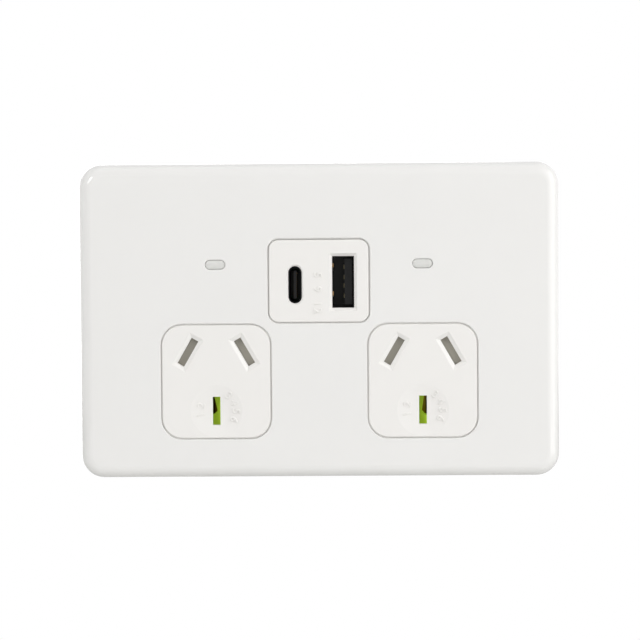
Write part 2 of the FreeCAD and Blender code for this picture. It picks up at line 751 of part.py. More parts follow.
def usb_insert():
    """Separate face of the charger, held by its flange behind the frame."""
    body = new_body("usb_insert", z="insert_rise")
    outline = sketch(body, "insert_outline", level="rebate_depth - flange_thickness")
    rounded(outline, "insert_width", "insert_height", "insert_radius")
    pad(body, "insert_block", outline, "projection - rebate_depth + flange_thickness")
    flange = sketch(body, "insert_flange_outline", level="rebate_depth - flange_thickness")
    clipped(flange, "insert_width + 2 * insert_flange", "insert_height + 2 * insert_flange",
            "insert_radius + insert_flange")
    pad(body, "insert_flange_solid", flange, "flange_thickness")
    hollow = sketch(body, "insert_hollow", level="rebate_depth - flange_thickness")
    clipped(hollow, "insert_width - 2 * insert_wall", "insert_height - 2 * insert_wall",
            "insert_radius - insert_wall / 2")
    pocket(body, "insert_inside", hollow, "projection - insert_wall - rebate_depth + flange_thickness",
           outward=True)
    port_a = sketch(body, "port_a_opening", x="port_a_x", z="port_a_z - insert_rise", level="projection")
    rectangle(port_a, "port_a_width", "port_a_length")
    pocket(body, "port_a_cut", port_a, "insert_wall")
    port_c = sketch(body, "port_c_opening", x="port_c_x", z="port_c_z - insert_rise", level="projection")
    stadium(port_c, "port_c_length + 2 * port_gap", "port_c_width + 2 * port_gap", upright=True)
    pocket(body, "port_c_cut", port_c, "insert_wall")
    level = value("projection")
    right_rim = rim_names(body.Shape, level, True, lambda edge: edge.BoundBox.XMin > 0)
    dress(body, "Chamfer", "port_a_edge", right_rim, "port_a_bevel")
    left_rim = rim_names(body.Shape, level, True, lambda edge: edge.BoundBox.XMax < 0)
    dress(body, "Chamfer", "port_c_edge", left_rim, "port_c_bevel")
    dress(body, "Chamfer", "insert_edge", rim_names(body.Shape, level, inner=False), "seam_chamfer")


def rear_housing():
    """Moulded box that snaps behind the frame, with wire entries and seats for the metalwork."""
    body = new_body("rear_housing")
    outline = sketch(body, "housing_outline", z=HOUSING_Z, level="rebate_depth")
    rounded(outline, HOUSING_WIDTH, HOUSING_HEIGHT, "housing_radius")
    pad(body, "housing_block", outline, "rebate_depth + housing_depth", inward=True)
    dress(body, "Chamfer", "housing_rear_edge", rim_names(body.Shape, value("-housing_depth"), inner=False),
          "housing_edge")
    hollow = sketch(body, "housing_hollow", z=HOUSING_Z, level="rebate_depth")
    clipped(hollow, f"{HOUSING_WIDTH} - 2 * housing_wall", f"{HOUSING_HEIGHT} - 2 * housing_wall",
            "housing_radius - housing_wall")
    pocket(body, "housing_inside", hollow, "rebate_depth + housing_depth - housing_wall")

    barrier = sketch(body, "barrier_outline", z=f"{BOARD_FOOT} - fit_gap - barrier_thickness / 2",
                     level=HOUSING_FLOOR)
    rectangle(barrier, "barrier_width", "barrier_thickness")
    pad(body, "barrier_wall", barrier, f"-barrier_end - {HOUSING_FLOOR}")
    window = sketch(body, "snap_window", x="snap_x", z="(snap_catch + snap_end) / 2", plane="XY_Plane",
                    level=f"{HOUSING_FOOT} - housing_wall")
    rectangle(window, "snap_width + fit_gap", "snap_end - snap_catch + fit_gap")
    snaps = feature(body, "Pocket", "snap_window_cut", Profile=window, Reversed=True)
    bind(snaps, Length=f"{HOUSING_HEIGHT} + 2 * housing_wall")
    solids = [snaps]
    for name, side in (("upper", 1), ("lower", -1)):
        stand = sketch(body, f"{name}_board_stand", x="board_stand_x",
                       z=f"board_rise + {side} * board_post_pitch / 2", level=HOUSING_FLOOR)
        rectangle(stand, "board_post_width", "board_post_width")
        solids.append(pad(body, f"{name}_board_stand_solid", stand, "power_board_stand"))
    cradle = sketch(body, "earth_cradle", x="socket_pitch / 2", z=EARTH_Z, level=HOUSING_FLOOR)
    rectangle(cradle, "strip_width", "leaf * 2")
    solids.append(pad(body, "earth_cradle_solid", cradle, f"{CLIP_REAR} - strip - {HOUSING_FLOOR}"))
    mirrored(body, "left_stands", solids)

    last_neutral = "(socket_pitch / 2 + live_offset)"
    above_bar = f"({LIVE_Z} + strip_width / 2 + fit_gap + leaf)"
    for name, start, z, length, stand_off in (
            ("active", "-socket_pitch / 2 - live_offset", above_bar, "socket_pitch", "strip"),
            ("neutral", "-terminal_width", LIVE_Z, f"{last_neutral} + terminal_width",
             "(bar_stand_off + strip)")):
        seat = sketch(body, f"{name}_cradle", x=start, z=z, level=HOUSING_FLOOR)
        rectangle(seat, "strip_width", "leaf * 2")
        stand = pad(body, f"{name}_cradle_solid", seat, f"{CLIP_REAR} - {stand_off} - {HOUSING_FLOOR}")
        row(body, f"{name}_cradles", [stand], "X_Axis", length, 2)

    entry = sketch(body, "wire_entry_outline", x="-terminal_pitch", z=f"-{BORE_LEVEL}",
                   level=f"{HOUSING_FOOT} - housing_wall", plane="XY_Plane")
    circle(entry, "wire_entry / 2")
    first = feature(body, "Pocket", "wire_entry_cut", Profile=entry, Reversed=True)
    bind(first, Length="3 * housing_wall")
    access = sketch(body, "screw_access", x="-terminal_pitch", level="-housing_depth - housing_wall",
                    z=TERMINAL_Z)
    circle(access, "clamp_screw_radius + access_gap")
    second = pocket(body, "screw_access_cut", access, "2.5 * housing_wall", outward=True)
    row(body, "terminal_openings", [first, second], "X_Axis", "2 * terminal_pitch", 3)


def shutter_parts(side):
    """Sliding shutter of one socket: grey plate, green cam, retainer and return spring."""
    place = {"x": f"{side} * socket_pitch / 2", "z": "-socket_drop"}
    name = SIDES[side]
    lean = "tan(slot_lean * 1 deg)"

    def edge(rise, sign):
        """Across position of a line parallel to a live slot, at one height."""
        return f"{sign} * (live_offset + {SLOT_REACH} + shutter_cover + (live_rise - ({rise})) * {lean})"

    top = f"({CAVITY_HEIGHT} / 2 - ledge_width - face_drop - shutter_gap)"
    foot = f"(live_rise - {SLOT_HALF_RISE})"
    corner = f"({foot} + slot_width * sin(slot_lean * 1 deg))"
    plate = new_body(f"shutter_plate_{name}", **place)
    outline = sketch(plate, f"shutter_outline_{name}", level=SHUTTER_BACK)
    polygon(outline, [(edge(foot, -1), "-shutter_tail"), (edge(corner, 1), "-shutter_tail"),
                      (edge(corner, 1), corner), (edge(top, 1), top), (edge(top, -1), top),
                      (edge(foot, -1), foot)])
    pad(plate, f"shutter_solid_{name}", outline, "shutter_thickness")
    low = f"(live_rise - {SLOT_HALF_RISE} - shutter_clear)"
    high = f"(live_rise + {SLOT_HALF_RISE} + shutter_clear)"

    def window_edge(rise, sign):
        return (f"live_offset - shutter_travel + {sign} * ({SLOT_REACH} + shutter_clear)"
                f" + (live_rise - ({rise})) * {lean}")

    window = sketch(plate, f"shutter_window_{name}", level=SHUTTER_FRONT)
    polygon(window, [(window_edge(low, -1), low), (window_edge(low, 1), low),
                     (window_edge(high, 1), high), (window_edge(high, -1), high)])
    pocket(plate, f"shutter_window_cut_{name}", window, "2 * shutter_thickness")
    key_x = "cam_body - key_head / 2"
    neck = "(key_length - key_head_length)"
    for part, width, rise, length in (("neck", "key_width", "-shutter_tail", f"2 * {neck}"),
                                      ("head", "key_head", f"-shutter_tail + {neck} + key_head_length / 2",
                                       "key_head_length")):
        slot = sketch(plate, f"key_{part}_slot_{name}", x=key_x, z=f"{rise} + fit_gap / 4",
                      level=SHUTTER_FRONT)
        rectangle(slot, f"{width} + fit_gap / 2", f"{length} + fit_gap / 2")
        pocket(plate, f"key_{part}_slot_cut_{name}", slot, "2 * shutter_thickness")

    cam = new_body(f"shutter_cam_{name}", **place)
    slope_tip = "-earth_width / 2 - cam_overreach"
    slope_top = "earth_width / 2"
    profile = sketch(cam, f"cam_profile_{name}", level="-shutter_tail - fit_gap - cam_height",
                     plane="XY_Plane")
    polygon(profile, [(slope_top, f"-{SHUTTER_FRONT}"), ("cam_body", f"-{SHUTTER_FRONT}"),
                      ("cam_body", "-cam_rear"), (slope_tip, "-cam_rear"),
                      (slope_tip, "-(cam_rear + cam_lead)")])
    pad(cam, f"cam_solid_{name}", profile, "cam_height")
    relief = sketch(cam, f"cam_relief_{name}", level=SHUTTER_FRONT, z="-earth_drop")
    polygon(relief, [("-earth_width", "earth_length / 2"), ("-earth_width / 2", "earth_length / 2"),
                     ("relief_nose", "-relief_foot / 4"), ("-earth_width / 2", "-relief_foot"),
                     ("-earth_width", "-relief_foot")])
    pocket(cam, f"cam_relief_cut_{name}", relief, "projection")
    for part, width, low_end, length in (
            ("neck", "key_width", "-shutter_tail - fit_gap", f"{neck} + fit_gap"),
            ("head", "key_head", f"-shutter_tail + {neck}", "key_head_length")):
        tongue = sketch(cam, f"key_{part}_{name}", x=key_x, z=f"{low_end} + ({length}) / 2",
                        level=SHUTTER_BACK)
        rectangle(tongue, width, length)
        pad(cam, f"key_{part}_solid_{name}", tongue, "shutter_thickness")

    retainer = new_body(f"shutter_retainer_{name}", **place)
    plate_outline = sketch(retainer, f"retainer_outline_{name}", z="-face_drop", level=LEDGE_LEVEL)
    clipped(plate_outline, f"{CAVITY_WIDTH} - fit_gap", f"{CAVITY_HEIGHT} - fit_gap",
            "face_radius + shoulder - turret_wall")
    pad(retainer, f"retainer_solid_{name}", plate_outline, "retainer_depth", inward=True)
    for part, sign in (("active", -1), ("neutral", 1)):
        hole = sketch(retainer, f"{part}_pin_hole_{name}", x=f"{sign} * live_offset", z="live_rise",
                      level=LEDGE_LEVEL, turn=f"{sign} * slot_lean")
        rectangle(hole, "slot_width + 2 * pin_clearance", "slot_length + 2 * pin_clearance")
        pocket(retainer, f"{part}_pin_hole_cut_{name}", hole, "2 * retainer_depth")
    well_left = "(-earth_width / 2 - cam_overreach - shutter_travel / 2)"
    well_right = f"({CAVITY_WIDTH} / 2 - fit_gap / 2 - retainer_rim)"
    well = sketch(retainer, f"cam_well_{name}", x=f"({well_left} + {well_right}) / 2",
                  z="-shutter_tail - fit_gap - cam_height / 2", level=LEDGE_LEVEL)
    rectangle(well, f"{well_right} - {well_left}", "cam_height + 2 * fit_gap")
    pocket(retainer, f"cam_well_cut_{name}", well, "2 * retainer_depth")
    shutter_spring(side, well_right)


def shutter_spring(side, well_right):
    """Folded strip spring between the cam and the retainer."""
    name = SIDES[side]
    left = "(cam_body + spring_strip / 2 + shutter_gap / 4)"
    right = f"({well_right} - spring_strip / 2 - shutter_gap / 4)"
    middle = "(-shutter_tail - fit_gap - cam_height / 2)"
    path = document.addObject("Sketcher::SketchObject", f"spring_path_{name}")
    path.Placement = Placement(Vector(), Rotation(Vector(1, 0, 0), 90))
    bind(path, Placement__Base__x=f"{side} * socket_pitch / 2", Placement__Base__z="-socket_drop",
         Placement__Base__y=f"-({LEDGE_LEVEL} - (retainer_depth + spring_depth) / 2)")
    folds = 5
    points = [(left, f"{middle} - spring_swing / 2")]
    for index in range(folds + 1):
        swing = 1 if index % 2 == 0 else -1
        points.append((f"{left} + ({right} - {left}) * {index} / {folds}",
                       f"{middle} + {swing} * spring_swing / 2"))
    points.append((right, f"{middle} + spring_swing / 2"))
    polygon(path, points, closed=False)
    document.recompute()
    band = document.addObject("Part::Offset2D", f"spring_band_{name}")
    band.Source = path
    band.Mode = "Skin"
    band.Join = "Arc"
    band.Fill = True
    bind(band, Value="spring_strip / 2")
    spring = document.addObject("Part::Extrusion", f"shutter_spring_{name}")
    spring.Label = f"shutter_spring_{name}"
    spring.Base = band
    spring.DirMode = "Custom"
    spring.Dir = Vector(0, -1, 0)
    spring.Solid = True
    bind(spring, LengthFwd="spring_depth")
    document.recompute()
    sub_parts.append(spring)


def contact_clip(name, x, z, turn):
    """Folded brass clip whose two leaves grip a flat pin."""
    body = new_body(name, x=x, z=z, turn=turn, listed=False)
    profile = sketch(body, f"{name}_profile", level="-clip_width / 2", plane="XY_Plane")
    stages = [("mouth_half", "clip_front"), ("nip_half", "(clip_front - nip_depth)"),
              ("throat_half", "(clip_front - throat_depth)")]
    inner = [(half, f"-{level}") for half, level in stages]
    inner.append(("throat_half", f"-({CLIP_REAR} + leaf)"))
    outer = [(f"{half} + leaf", f"-{level}") for half, level in stages]
    outer.append(("throat_half + leaf", f"-{CLIP_REAR}"))
    points = list(inner)
    points += [(f"-{across}", up) for across, up in reversed(inner)]
    points += [(f"-({across})", up) for across, up in outer]
    points += list(reversed(outer))
    polygon(profile, points)
    pad(body, f"{name}_solid", profile, "clip_width")
    return body


def metalwork():
    """Brass contacts with their strips, the neutral and earth bars, and the active link."""
    strip_back = f"({CLIP_REAR} - strip)"
    for side, name in SIDES.items():
        centre = f"({side} * socket_pitch / 2 - live_offset)"
        clip = contact_clip(f"active_clip_{name}", centre, LIVE_Z, "slot_lean")
        x_range = (f"{centre} - strip_width / 2", f"{centre} + strip_width / 2")
        riser = block(f"active_riser_{name}", x_range, (strip_back, CLIP_REAR),
                      (f"{LIVE_Z} - leaf", RISER_TOP))
        tail = block(f"active_tail_{name}", x_range, (POWER_BOARD_LEVEL, CLIP_REAR),
                     (f"{RISER_TOP} - strip", RISER_TOP))
        fused(f"active_contact_{name}", [clip, riser, tail])

    bar_front = f"({CLIP_REAR} - bar_stand_off)"
    bar_back = f"({CLIP_REAR} - bar_stand_off - strip)"
    pieces = []
    for side, name in SIDES.items():
        centre = f"({side} * socket_pitch / 2 + live_offset)"
        pieces.append(contact_clip(f"neutral_clip_{name}", centre, LIVE_Z, "-slot_lean"))
        pieces.append(block(f"neutral_leg_{name}", (f"{centre} - strip / 2", f"{centre} + strip / 2"),
                            (bar_back, CLIP_REAR), (f"{LIVE_Z} - leaf", f"{LIVE_Z} + leaf")))
    bar_ends = ("-socket_pitch / 2 + live_offset - strip", "socket_pitch / 2 + live_offset + strip")
    pieces.append(block("neutral_strip", bar_ends, (bar_back, bar_front),
                        (f"{LIVE_Z} - strip_width / 2", f"{LIVE_Z} + strip_width / 2")))
    middle = ("-strip_width / 2", "strip_width / 2")
    terminal_top = f"({TERMINAL_Z} + terminal_height / 2)"
    terminal_front = f"({TERMINAL_BACK} + terminal_depth)"
    pieces.append(block("neutral_drop", middle, (bar_back, bar_front),
                        (f"{terminal_top} - 2 * strip", LIVE_Z)))
    pieces.append(block("neutral_foot", middle, (terminal_front, bar_front),
                        (f"{terminal_top} - 2 * strip", f"{terminal_top} - strip")))
    fused("neutral_bar", pieces)

    pieces = [contact_clip(f"earth_clip_{name}", f"{side} * socket_pitch / 2", EARTH_Z, None)
              for side, name in SIDES.items()]
    bar_range = (f"{EARTH_Z} + leaf", f"{EARTH_Z} + clip_width / 2")
    pieces.append(block("earth_strip", ("-socket_pitch / 2 - strip", "socket_pitch / 2 + strip"),
                        (strip_back, CLIP_REAR), bar_range))
    foot_ends = ("terminal_pitch - strip_width / 2", "terminal_pitch + strip_width / 2")
    pieces.append(block("earth_foot", foot_ends, (terminal_front, CLIP_REAR),
                        (bar_range[0], f"{bar_range[0]} + strip")))
    fused("earth_bar", pieces)

    x_range = ("-terminal_pitch - strip_width / 2", "-terminal_pitch + strip_width / 2")
    upright = block("active_upright", x_range, (terminal_front, f"{terminal_front} + strip"),
                    (f"{terminal_top} - strip_width", RISER_TOP))
    foot = block("active_foot", x_range, (POWER_BOARD_LEVEL, terminal_front),
                 (f"{RISER_TOP} - strip", RISER_TOP))
    fused("active_link", [upright, foot])


def terminals():
    """Brass tunnel terminals, each with a wire bore from below and a clamp screw from behind."""
    for name, place in (("active", "-terminal_pitch"), ("neutral", "0"), ("earth", "terminal_pitch")):
        body = new_body(f"{name}_terminal", x=place, z=TERMINAL_Z)
        outline = sketch(body, f"{name}_terminal_outline", level=TERMINAL_BACK)
        rectangle(outline, "terminal_width", "terminal_height")
        pad(body, f"{name}_terminal_solid", outline, "terminal_depth")
        bore = sketch(body, f"{name}_wire_bore", z=f"-{BORE_LEVEL}", level="-terminal_height",
                      plane="XY_Plane")
        circle(bore, "wire_bore_radius")
        pocket(body, f"{name}_wire_bore_cut", bore, "2 * terminal_height", outward=True)
        tapped = sketch(body, f"{name}_tapped_hole", level=TERMINAL_BACK)
        circle(tapped, "clamp_screw_radius")
        pocket(body, f"{name}_tapped_hole_cut", tapped, f"{BORE_LEVEL} - {TERMINAL_BACK}", outward=True)

    screws = new_body("terminal_screws", x="-terminal_pitch", z=TERMINAL_Z)
    outline = sketch(screws, "clamp_screw_outline", level=f"{TERMINAL_BACK} - clamp_screw_end")
    circle(outline, "clamp_screw_radius - thread_gap")
    screw = pad(screws, "clamp_screw", outline,
                f"{BORE_LEVEL} - wire_bore_radius - {TERMINAL_BACK} + clamp_screw_end - thread_gap")
    row(screws, "clamp_screws", [screw], "X_Axis", "2 * terminal_pitch", 3)


def usb_ports():
    """Metal shells, insulator tongues and contacts of both receptacles."""
    rear = "(board_level + port_gap)"
    shell = new_body("usb_a_shell", x="port_a_x", z="port_a_z")
    outer = sketch(shell, "shell_a_outer", level=rear)
    rectangle(outer, "port_a_width + 2 * port_shell", "port_a_length + 2 * port_shell")
    pad(shell, "shell_a_block", outer, f"{PORT_A_FRONT} - {rear}")
    inner = sketch(shell, "shell_a_inner", level=PORT_A_FRONT)
    rectangle(inner, "port_a_width", "port_a_length")
    pocket(shell, "shell_a_bore", inner, "2 * projection")
    fingers = []
    for name, side in (("wall", -1), ("tongue", 1)):
        finger = sketch(shell, f"finger_{name}", level="port_a_length / 4 - leaf", plane="XY_Plane")
        base = f"{side} * (port_a_width / 2 + port_shell / 2)"
        crest = f"{side} * (port_a_width / 2 - port_shell)"
        tip = f"-({PORT_A_FRONT} - finger_setback"
        polygon(finger, [(base, f"{tip})"), (crest, f"{tip} - finger_rise)"),
                         (crest, f"{tip} - finger_rise - finger_crest)"),
                         (base, f"-({PORT_A_FRONT} - finger_root)")])
        fingers.append(pad(shell, f"finger_{name}_solid", finger, "2 * leaf"))
    mirrored(shell, "lower_fingers", fingers, plane="XY_Plane")

    tongue = new_body("usb_a_tongue", x="port_a_x", z="port_a_z")
    plug = sketch(tongue, "tongue_a_base", level=rear)
    rectangle(plug, "port_a_width - 2 * port_gap", "port_a_length - 2 * port_gap")
    pad(tongue, "tongue_a_block", plug, "socket_back / 2")
    blade = sketch(tongue, "tongue_a_blade", x="tongue_a_offset", level=rear)
    rectangle(blade, "tongue_a_width", "tongue_a_length")
    pad(tongue, "tongue_a_solid", blade, f"{PORT_A_FRONT} - tongue_a_setback - {rear}")

    pads = new_body("usb_a_contacts", x="port_a_x", z="port_a_z")
    strips = []
    for index in range(2):
        strip = sketch(pads, f"contact_a_{index}", z=f"contact_width + {index} * contact_pitch",
                       x="tongue_a_offset - tongue_a_width / 2 - port_gap - port_shell / 4",
                       level=f"{rear} + socket_back")
        rectangle(strip, "port_shell / 2", "contact_width")
        strips.append(pad(pads, f"contact_a_strip_{index}", strip,
                          f"{PORT_A_FRONT} - tongue_a_setback - contact_width - {rear} - socket_back"))
    mirrored(pads, "lower_contacts", strips, plane="XY_Plane")

    shell = new_body("usb_c_shell", x="port_c_x", z="port_c_z")
    outer = sketch(shell, "shell_c_outer", level=f"{rear} + socket_back / 2")
    stadium(outer, "port_c_length", "port_c_width", upright=True)
    pad(shell, "shell_c_block", outer, f"{PORT_C_FRONT} - {rear} - socket_back / 2")
    inner = sketch(shell, "shell_c_inner", level=PORT_C_FRONT)
    stadium(inner, "port_c_length - 2 * port_shell", "port_c_width - 2 * port_shell", upright=True)
    pocket(shell, "shell_c_bore", inner, "2 * projection")

    tongue = new_body("usb_c_tongue", x="port_c_x", z="port_c_z")
    plug = sketch(tongue, "tongue_c_base", level=rear)
    rectangle(plug, "port_c_width - 2 * port_shell - 2 * port_gap", "port_c_length - port_c_width")
    pad(tongue, "tongue_c_block", plug, "socket_back")
    blade = sketch(tongue, "tongue_c_blade", level=rear)
    rectangle(blade, "tongue_c_width", "tongue_c_length")
    pad(tongue, "tongue_c_solid", blade, f"{PORT_C_FRONT} - tongue_c_setback - {rear}")


def boards():
    """Front board with switches and lamps, power board with relays, transformer and capacitors."""
    front = new_body("control_board", z="board_rise")
    outline = sketch(front, "control_outline", level="board_level")
    rectangle(outline, "control_board_width", "board_height")
    pad(front, "control_solid", outline, "board_thickness", inward=True)

    power = new_body("power_board", z="board_rise")
    outline = sketch(power, "power_outline", level=POWER_BOARD_LEVEL)
    rectangle(outline, f"{HOUSING_WIDTH} - 2 * housing_wall - 2 * board_gap", "board_height")
    pad(power, "power_solid", outline, "board_thickness", inward=True)

    inner_side = "(core_width / 2 + board_gap)"
    outer_side = f"({CAPACITOR_X} - capacitor_radius - board_gap)"
    for side, name in SIDES.items():
        relay = new_body(f"relay_{name}", x=f"{side} * ({inner_side} + {outer_side}) / 2", z="board_rise")
        case = sketch(relay, f"relay_case_{name}", level=f"{POWER_BOARD_LEVEL} + port_gap")
        rectangle(case, f"{outer_side} - {inner_side}", "relay_height")
        pad(relay, f"relay_solid_{name}", case, "relay_depth")
        relay_front = value(f"{POWER_BOARD_LEVEL} + port_gap + relay_depth")
        dress(relay, "Chamfer", f"relay_edge_{name}", rim_names(relay.Shape, relay_front, inner=False),
              "leaf / 2")

    winding_back = f"({POWER_BOARD_LEVEL} + port_gap)"
    core_back = f"({winding_back} + (winding_depth - core_depth) / 2)"
    core = new_body("transformer_core", z="board_rise")
    ring = sketch(core, "core_outline", level=core_back)
    rectangle(ring, "core_width", "core_height")
    pad(core, "core_block", ring, "core_depth")
    gap = sketch(core, "core_window_outline", x="core_width / 2 - core_leg - core_window / 2",
                 level=core_back)
    rectangle(gap, "core_window", "core_height - 2 * core_leg")
    cut = pocket(core, "core_window_cut", gap, "core_depth", outward=True)
    mirrored(core, "left_core_window", [cut])
    winding = new_body("transformer_winding", z="board_rise")
    coil = sketch(winding, "winding_outline", level=winding_back)
    rectangle(coil, "core_width - 2 * core_leg - fit_gap", "core_height - 2 * core_leg - fit_gap")
    pad(winding, "winding_block", coil, "winding_depth")
    leg = sketch(winding, "leg_passage", z=f"-({core_back} + core_depth / 2)", level="-core_height",
                 plane="XY_Plane")
    rectangle(leg, "core_width - 2 * core_leg - 2 * core_window + fit_gap", "core_depth + fit_gap")
    pocket(winding, "leg_passage_cut", leg, "2 * core_height", outward=True)

    cans = new_body("capacitors")
    can = sketch(cans, "can_outline", x=CAPACITOR_X, z=f"{BOARD_FOOT} + capacitor_inset",
                 level=f"{POWER_BOARD_LEVEL} + port_gap")
    circle(can, "capacitor_radius")
    right = pad(cans, "can_solid", can, "capacitor_height")
    mirrored(cans, "left_can", [right])

    header = new_body("board_connector", z=f"{BOARD_FOOT} + header_inset")
    strip = sketch(header, "header_outline", level="board_level - board_thickness - port_gap")
    rectangle(strip, "header_width", "header_height")
    pad(header, "header_solid", strip,
        f"board_level - board_thickness - 2 * port_gap - {POWER_BOARD_LEVEL}", inward=True)


def button_parts(side):
    """Translucent push button with its plunger, switch and lamp."""
    name = SIDES[side]
    place = {"x": f"{side} * button_x", "z": "button_z"}
    button = new_body(f"power_button_{name}", **place)
    flange_back = f"({FLANGE_FRONT} - button_flange_depth)"
    pill = sketch(button, f"button_pill_{name}", level=flange_back)
    stadium(pill, "button_length", "button_width")
    pad(button, f"button_pill_solid_{name}", pill, f"{BUTTON_FRONT} - {flange_back}")
    dress(button, "Chamfer", f"button_edge_{name}",
          rim_names(button.Shape, value(BUTTON_FRONT), inner=False), "seam_chamfer")
    flange = sketch(button, f"button_flange_{name}", level=flange_back)
    rectangle(flange, "button_length + 2 * button_flange", "button_width + 2 * button_flange")
    pad(button, f"button_flange_solid_{name}", flange, "button_flange_depth")
    stem = sketch(button, f"button_stem_{name}", level="stem_end")
    circle(stem, "stem_radius")
    pad(button, f"button_stem_solid_{name}", stem, f"{flange_back} - stem_end + button_flange_depth / 2")

    board_top = "(board_level + port_gap)"
    plunger = new_body(f"switch_plunger_{name}", **place)
    plunger_outline = sketch(plunger, f"plunger_outline_{name}", level="stem_end - thread_gap")
    rectangle(plunger_outline, "plunger_width", "plunger_width")
    pad(plunger, f"plunger_solid_{name}", plunger_outline,
        f"stem_end - thread_gap - {board_top} - button_travel - 2 * leaf", inward=True)

    switch = new_body(f"tact_switch_{name}", **place)
    case = sketch(switch, f"switch_outline_{name}", level=board_top)
    rectangle(case, "switch_width", "switch_width")
    pad(switch, f"switch_solid_{name}", case, "switch_height")
    bore = sketch(switch, f"switch_bore_{name}", level=f"{board_top} + leaf")
    rectangle(bore, "plunger_width + 2 * button_gap", "plunger_width + 2 * button_gap")
    pocket(switch, f"switch_bore_cut_{name}", bore, "switch_height", outward=True)

    lamp = new_body(f"led_{name}", x=place["x"], z="button_z + lamp_offset")
    lens = sketch(lamp, f"lamp_outline_{name}", level=board_top)
    rectangle(lens, "lamp_width", "lamp_height")
    pad(lamp, f"lamp_solid_{name}", lens, "lamp_depth")


def check_and_write():
    """Stop on any failed object, then write one STEP file for each sub-part."""
    for item in sub_parts:
        if item.TypeId == "PartDesign::Body":
            item.Tip.Refine = True
    document.recompute()
    for item in document.Objects:
        if "Invalid" in item.State or "Error" in item.State:
            raise RuntimeError(f"{item.Label} failed: {item.State}")
    os.makedirs("parts", exist_ok=True)
    for item in sub_parts:
        if item.Shape.isNull() or not item.Shape.isValid():
            raise RuntimeError(f"{item.Label} has no valid shape")
        item.Shape.exportStep(f"parts/{item.Label}.step")


face_cover()
socket_front()
usb_insert()
rear_housing()
for socket_side in SIDES:
    shutter_parts(socket_side)
    button_parts(socket_side)
metalwork()
terminals()
usb_ports()
boards()
check_and_write()
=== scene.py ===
"""Looks of a double wall socket with two USB ports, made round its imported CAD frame."""

import math

import bmesh
import bpy
from bpy.props import FloatProperty, FloatVectorProperty, IntProperty, PointerProperty, StringProperty
from bpy.types import Operator, Panel, PropertyGroup
from mathutils import Matrix, Quaternion, Vector


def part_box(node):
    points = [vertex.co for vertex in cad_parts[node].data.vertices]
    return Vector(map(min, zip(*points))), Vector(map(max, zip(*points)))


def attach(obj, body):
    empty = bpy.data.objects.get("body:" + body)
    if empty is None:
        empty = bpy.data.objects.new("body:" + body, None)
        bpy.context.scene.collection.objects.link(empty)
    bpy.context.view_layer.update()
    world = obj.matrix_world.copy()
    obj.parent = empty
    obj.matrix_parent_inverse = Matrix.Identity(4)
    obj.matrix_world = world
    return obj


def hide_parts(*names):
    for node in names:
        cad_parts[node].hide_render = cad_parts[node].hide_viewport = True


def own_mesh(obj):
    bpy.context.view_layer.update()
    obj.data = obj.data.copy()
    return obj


bl_info = {
    "name": "Wall socket with USB ports",
    "version": (1, 0, 0),
    "blender": (4, 5, 0),
    "location": "View3D > Sidebar > Wall Socket",
    "description": "Dresses the packed wall socket in its finishes and sets its studio",
    "category": "Object",
}

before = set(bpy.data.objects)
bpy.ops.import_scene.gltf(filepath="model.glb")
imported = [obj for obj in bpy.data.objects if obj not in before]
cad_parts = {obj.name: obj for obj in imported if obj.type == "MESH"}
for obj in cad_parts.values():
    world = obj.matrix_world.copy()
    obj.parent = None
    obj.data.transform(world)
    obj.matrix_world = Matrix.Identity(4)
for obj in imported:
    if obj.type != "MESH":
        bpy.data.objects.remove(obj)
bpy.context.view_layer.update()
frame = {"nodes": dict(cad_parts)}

MM = 0.001
SIDES = {"left": -1, "right": 1}
# Height of the earth slots' middle, in millimetres
EARTH_SLOT = -21.76
# Font size of a figure over its height
FONT_SIZE = 1.4
# Turns that stand a figure up with its front towards the front and the rear
FACING = Matrix.Rotation(math.radians(90), 4, "X")
REARWARD = Matrix.Rotation(math.radians(180), 4, "Z") @ FACING


def linear(hex_colour):
    """Scene-linear colour of an sRGB hex value."""
    channels = [int(hex_colour[place:place + 2], 16) / 255 for place in (1, 3, 5)]
    return tuple(c / 12.92 if c <= 0.04045 else ((c + 0.055) / 1.055) ** 2.4 for c in channels)


def colour(label, hint, hex_colour):
    """Colour property with its default as an sRGB hex value."""
    return FloatVectorProperty(name=label, description=hint, subtype="COLOR", size=3, min=0, max=1,
                               default=linear(hex_colour))


def length(label, hint, millimetres):
    """Length property with its default in millimetres."""
    return FloatProperty(name=label, description=hint, unit="LENGTH", precision=6, default=millimetres * MM)


def reach(label, hint, metres):
    """Length property of the studio with its default in metres."""
    return FloatProperty(name=label, description=hint, unit="LENGTH", default=metres)


def spot(label, hint, metres):
    """Place of a lamp with its default in metres."""
    return FloatVectorProperty(name=label, description=hint, subtype="TRANSLATION", unit="LENGTH", size=3,
                               default=metres)


def angle(label, hint, degrees):
    """Angle property with its default in degrees."""
    return FloatProperty(name=label, description=hint, subtype="ANGLE", unit="ROTATION",
                         default=math.radians(degrees))


def power(label, hint, watts):
    """Power of a lamp with its default in watts."""
    return FloatProperty(name=label, description=hint, unit="POWER", default=watts)


def number(label, hint, value):
    """Property that has no unit."""
    return FloatProperty(name=label, description=hint, default=value)


# Settings

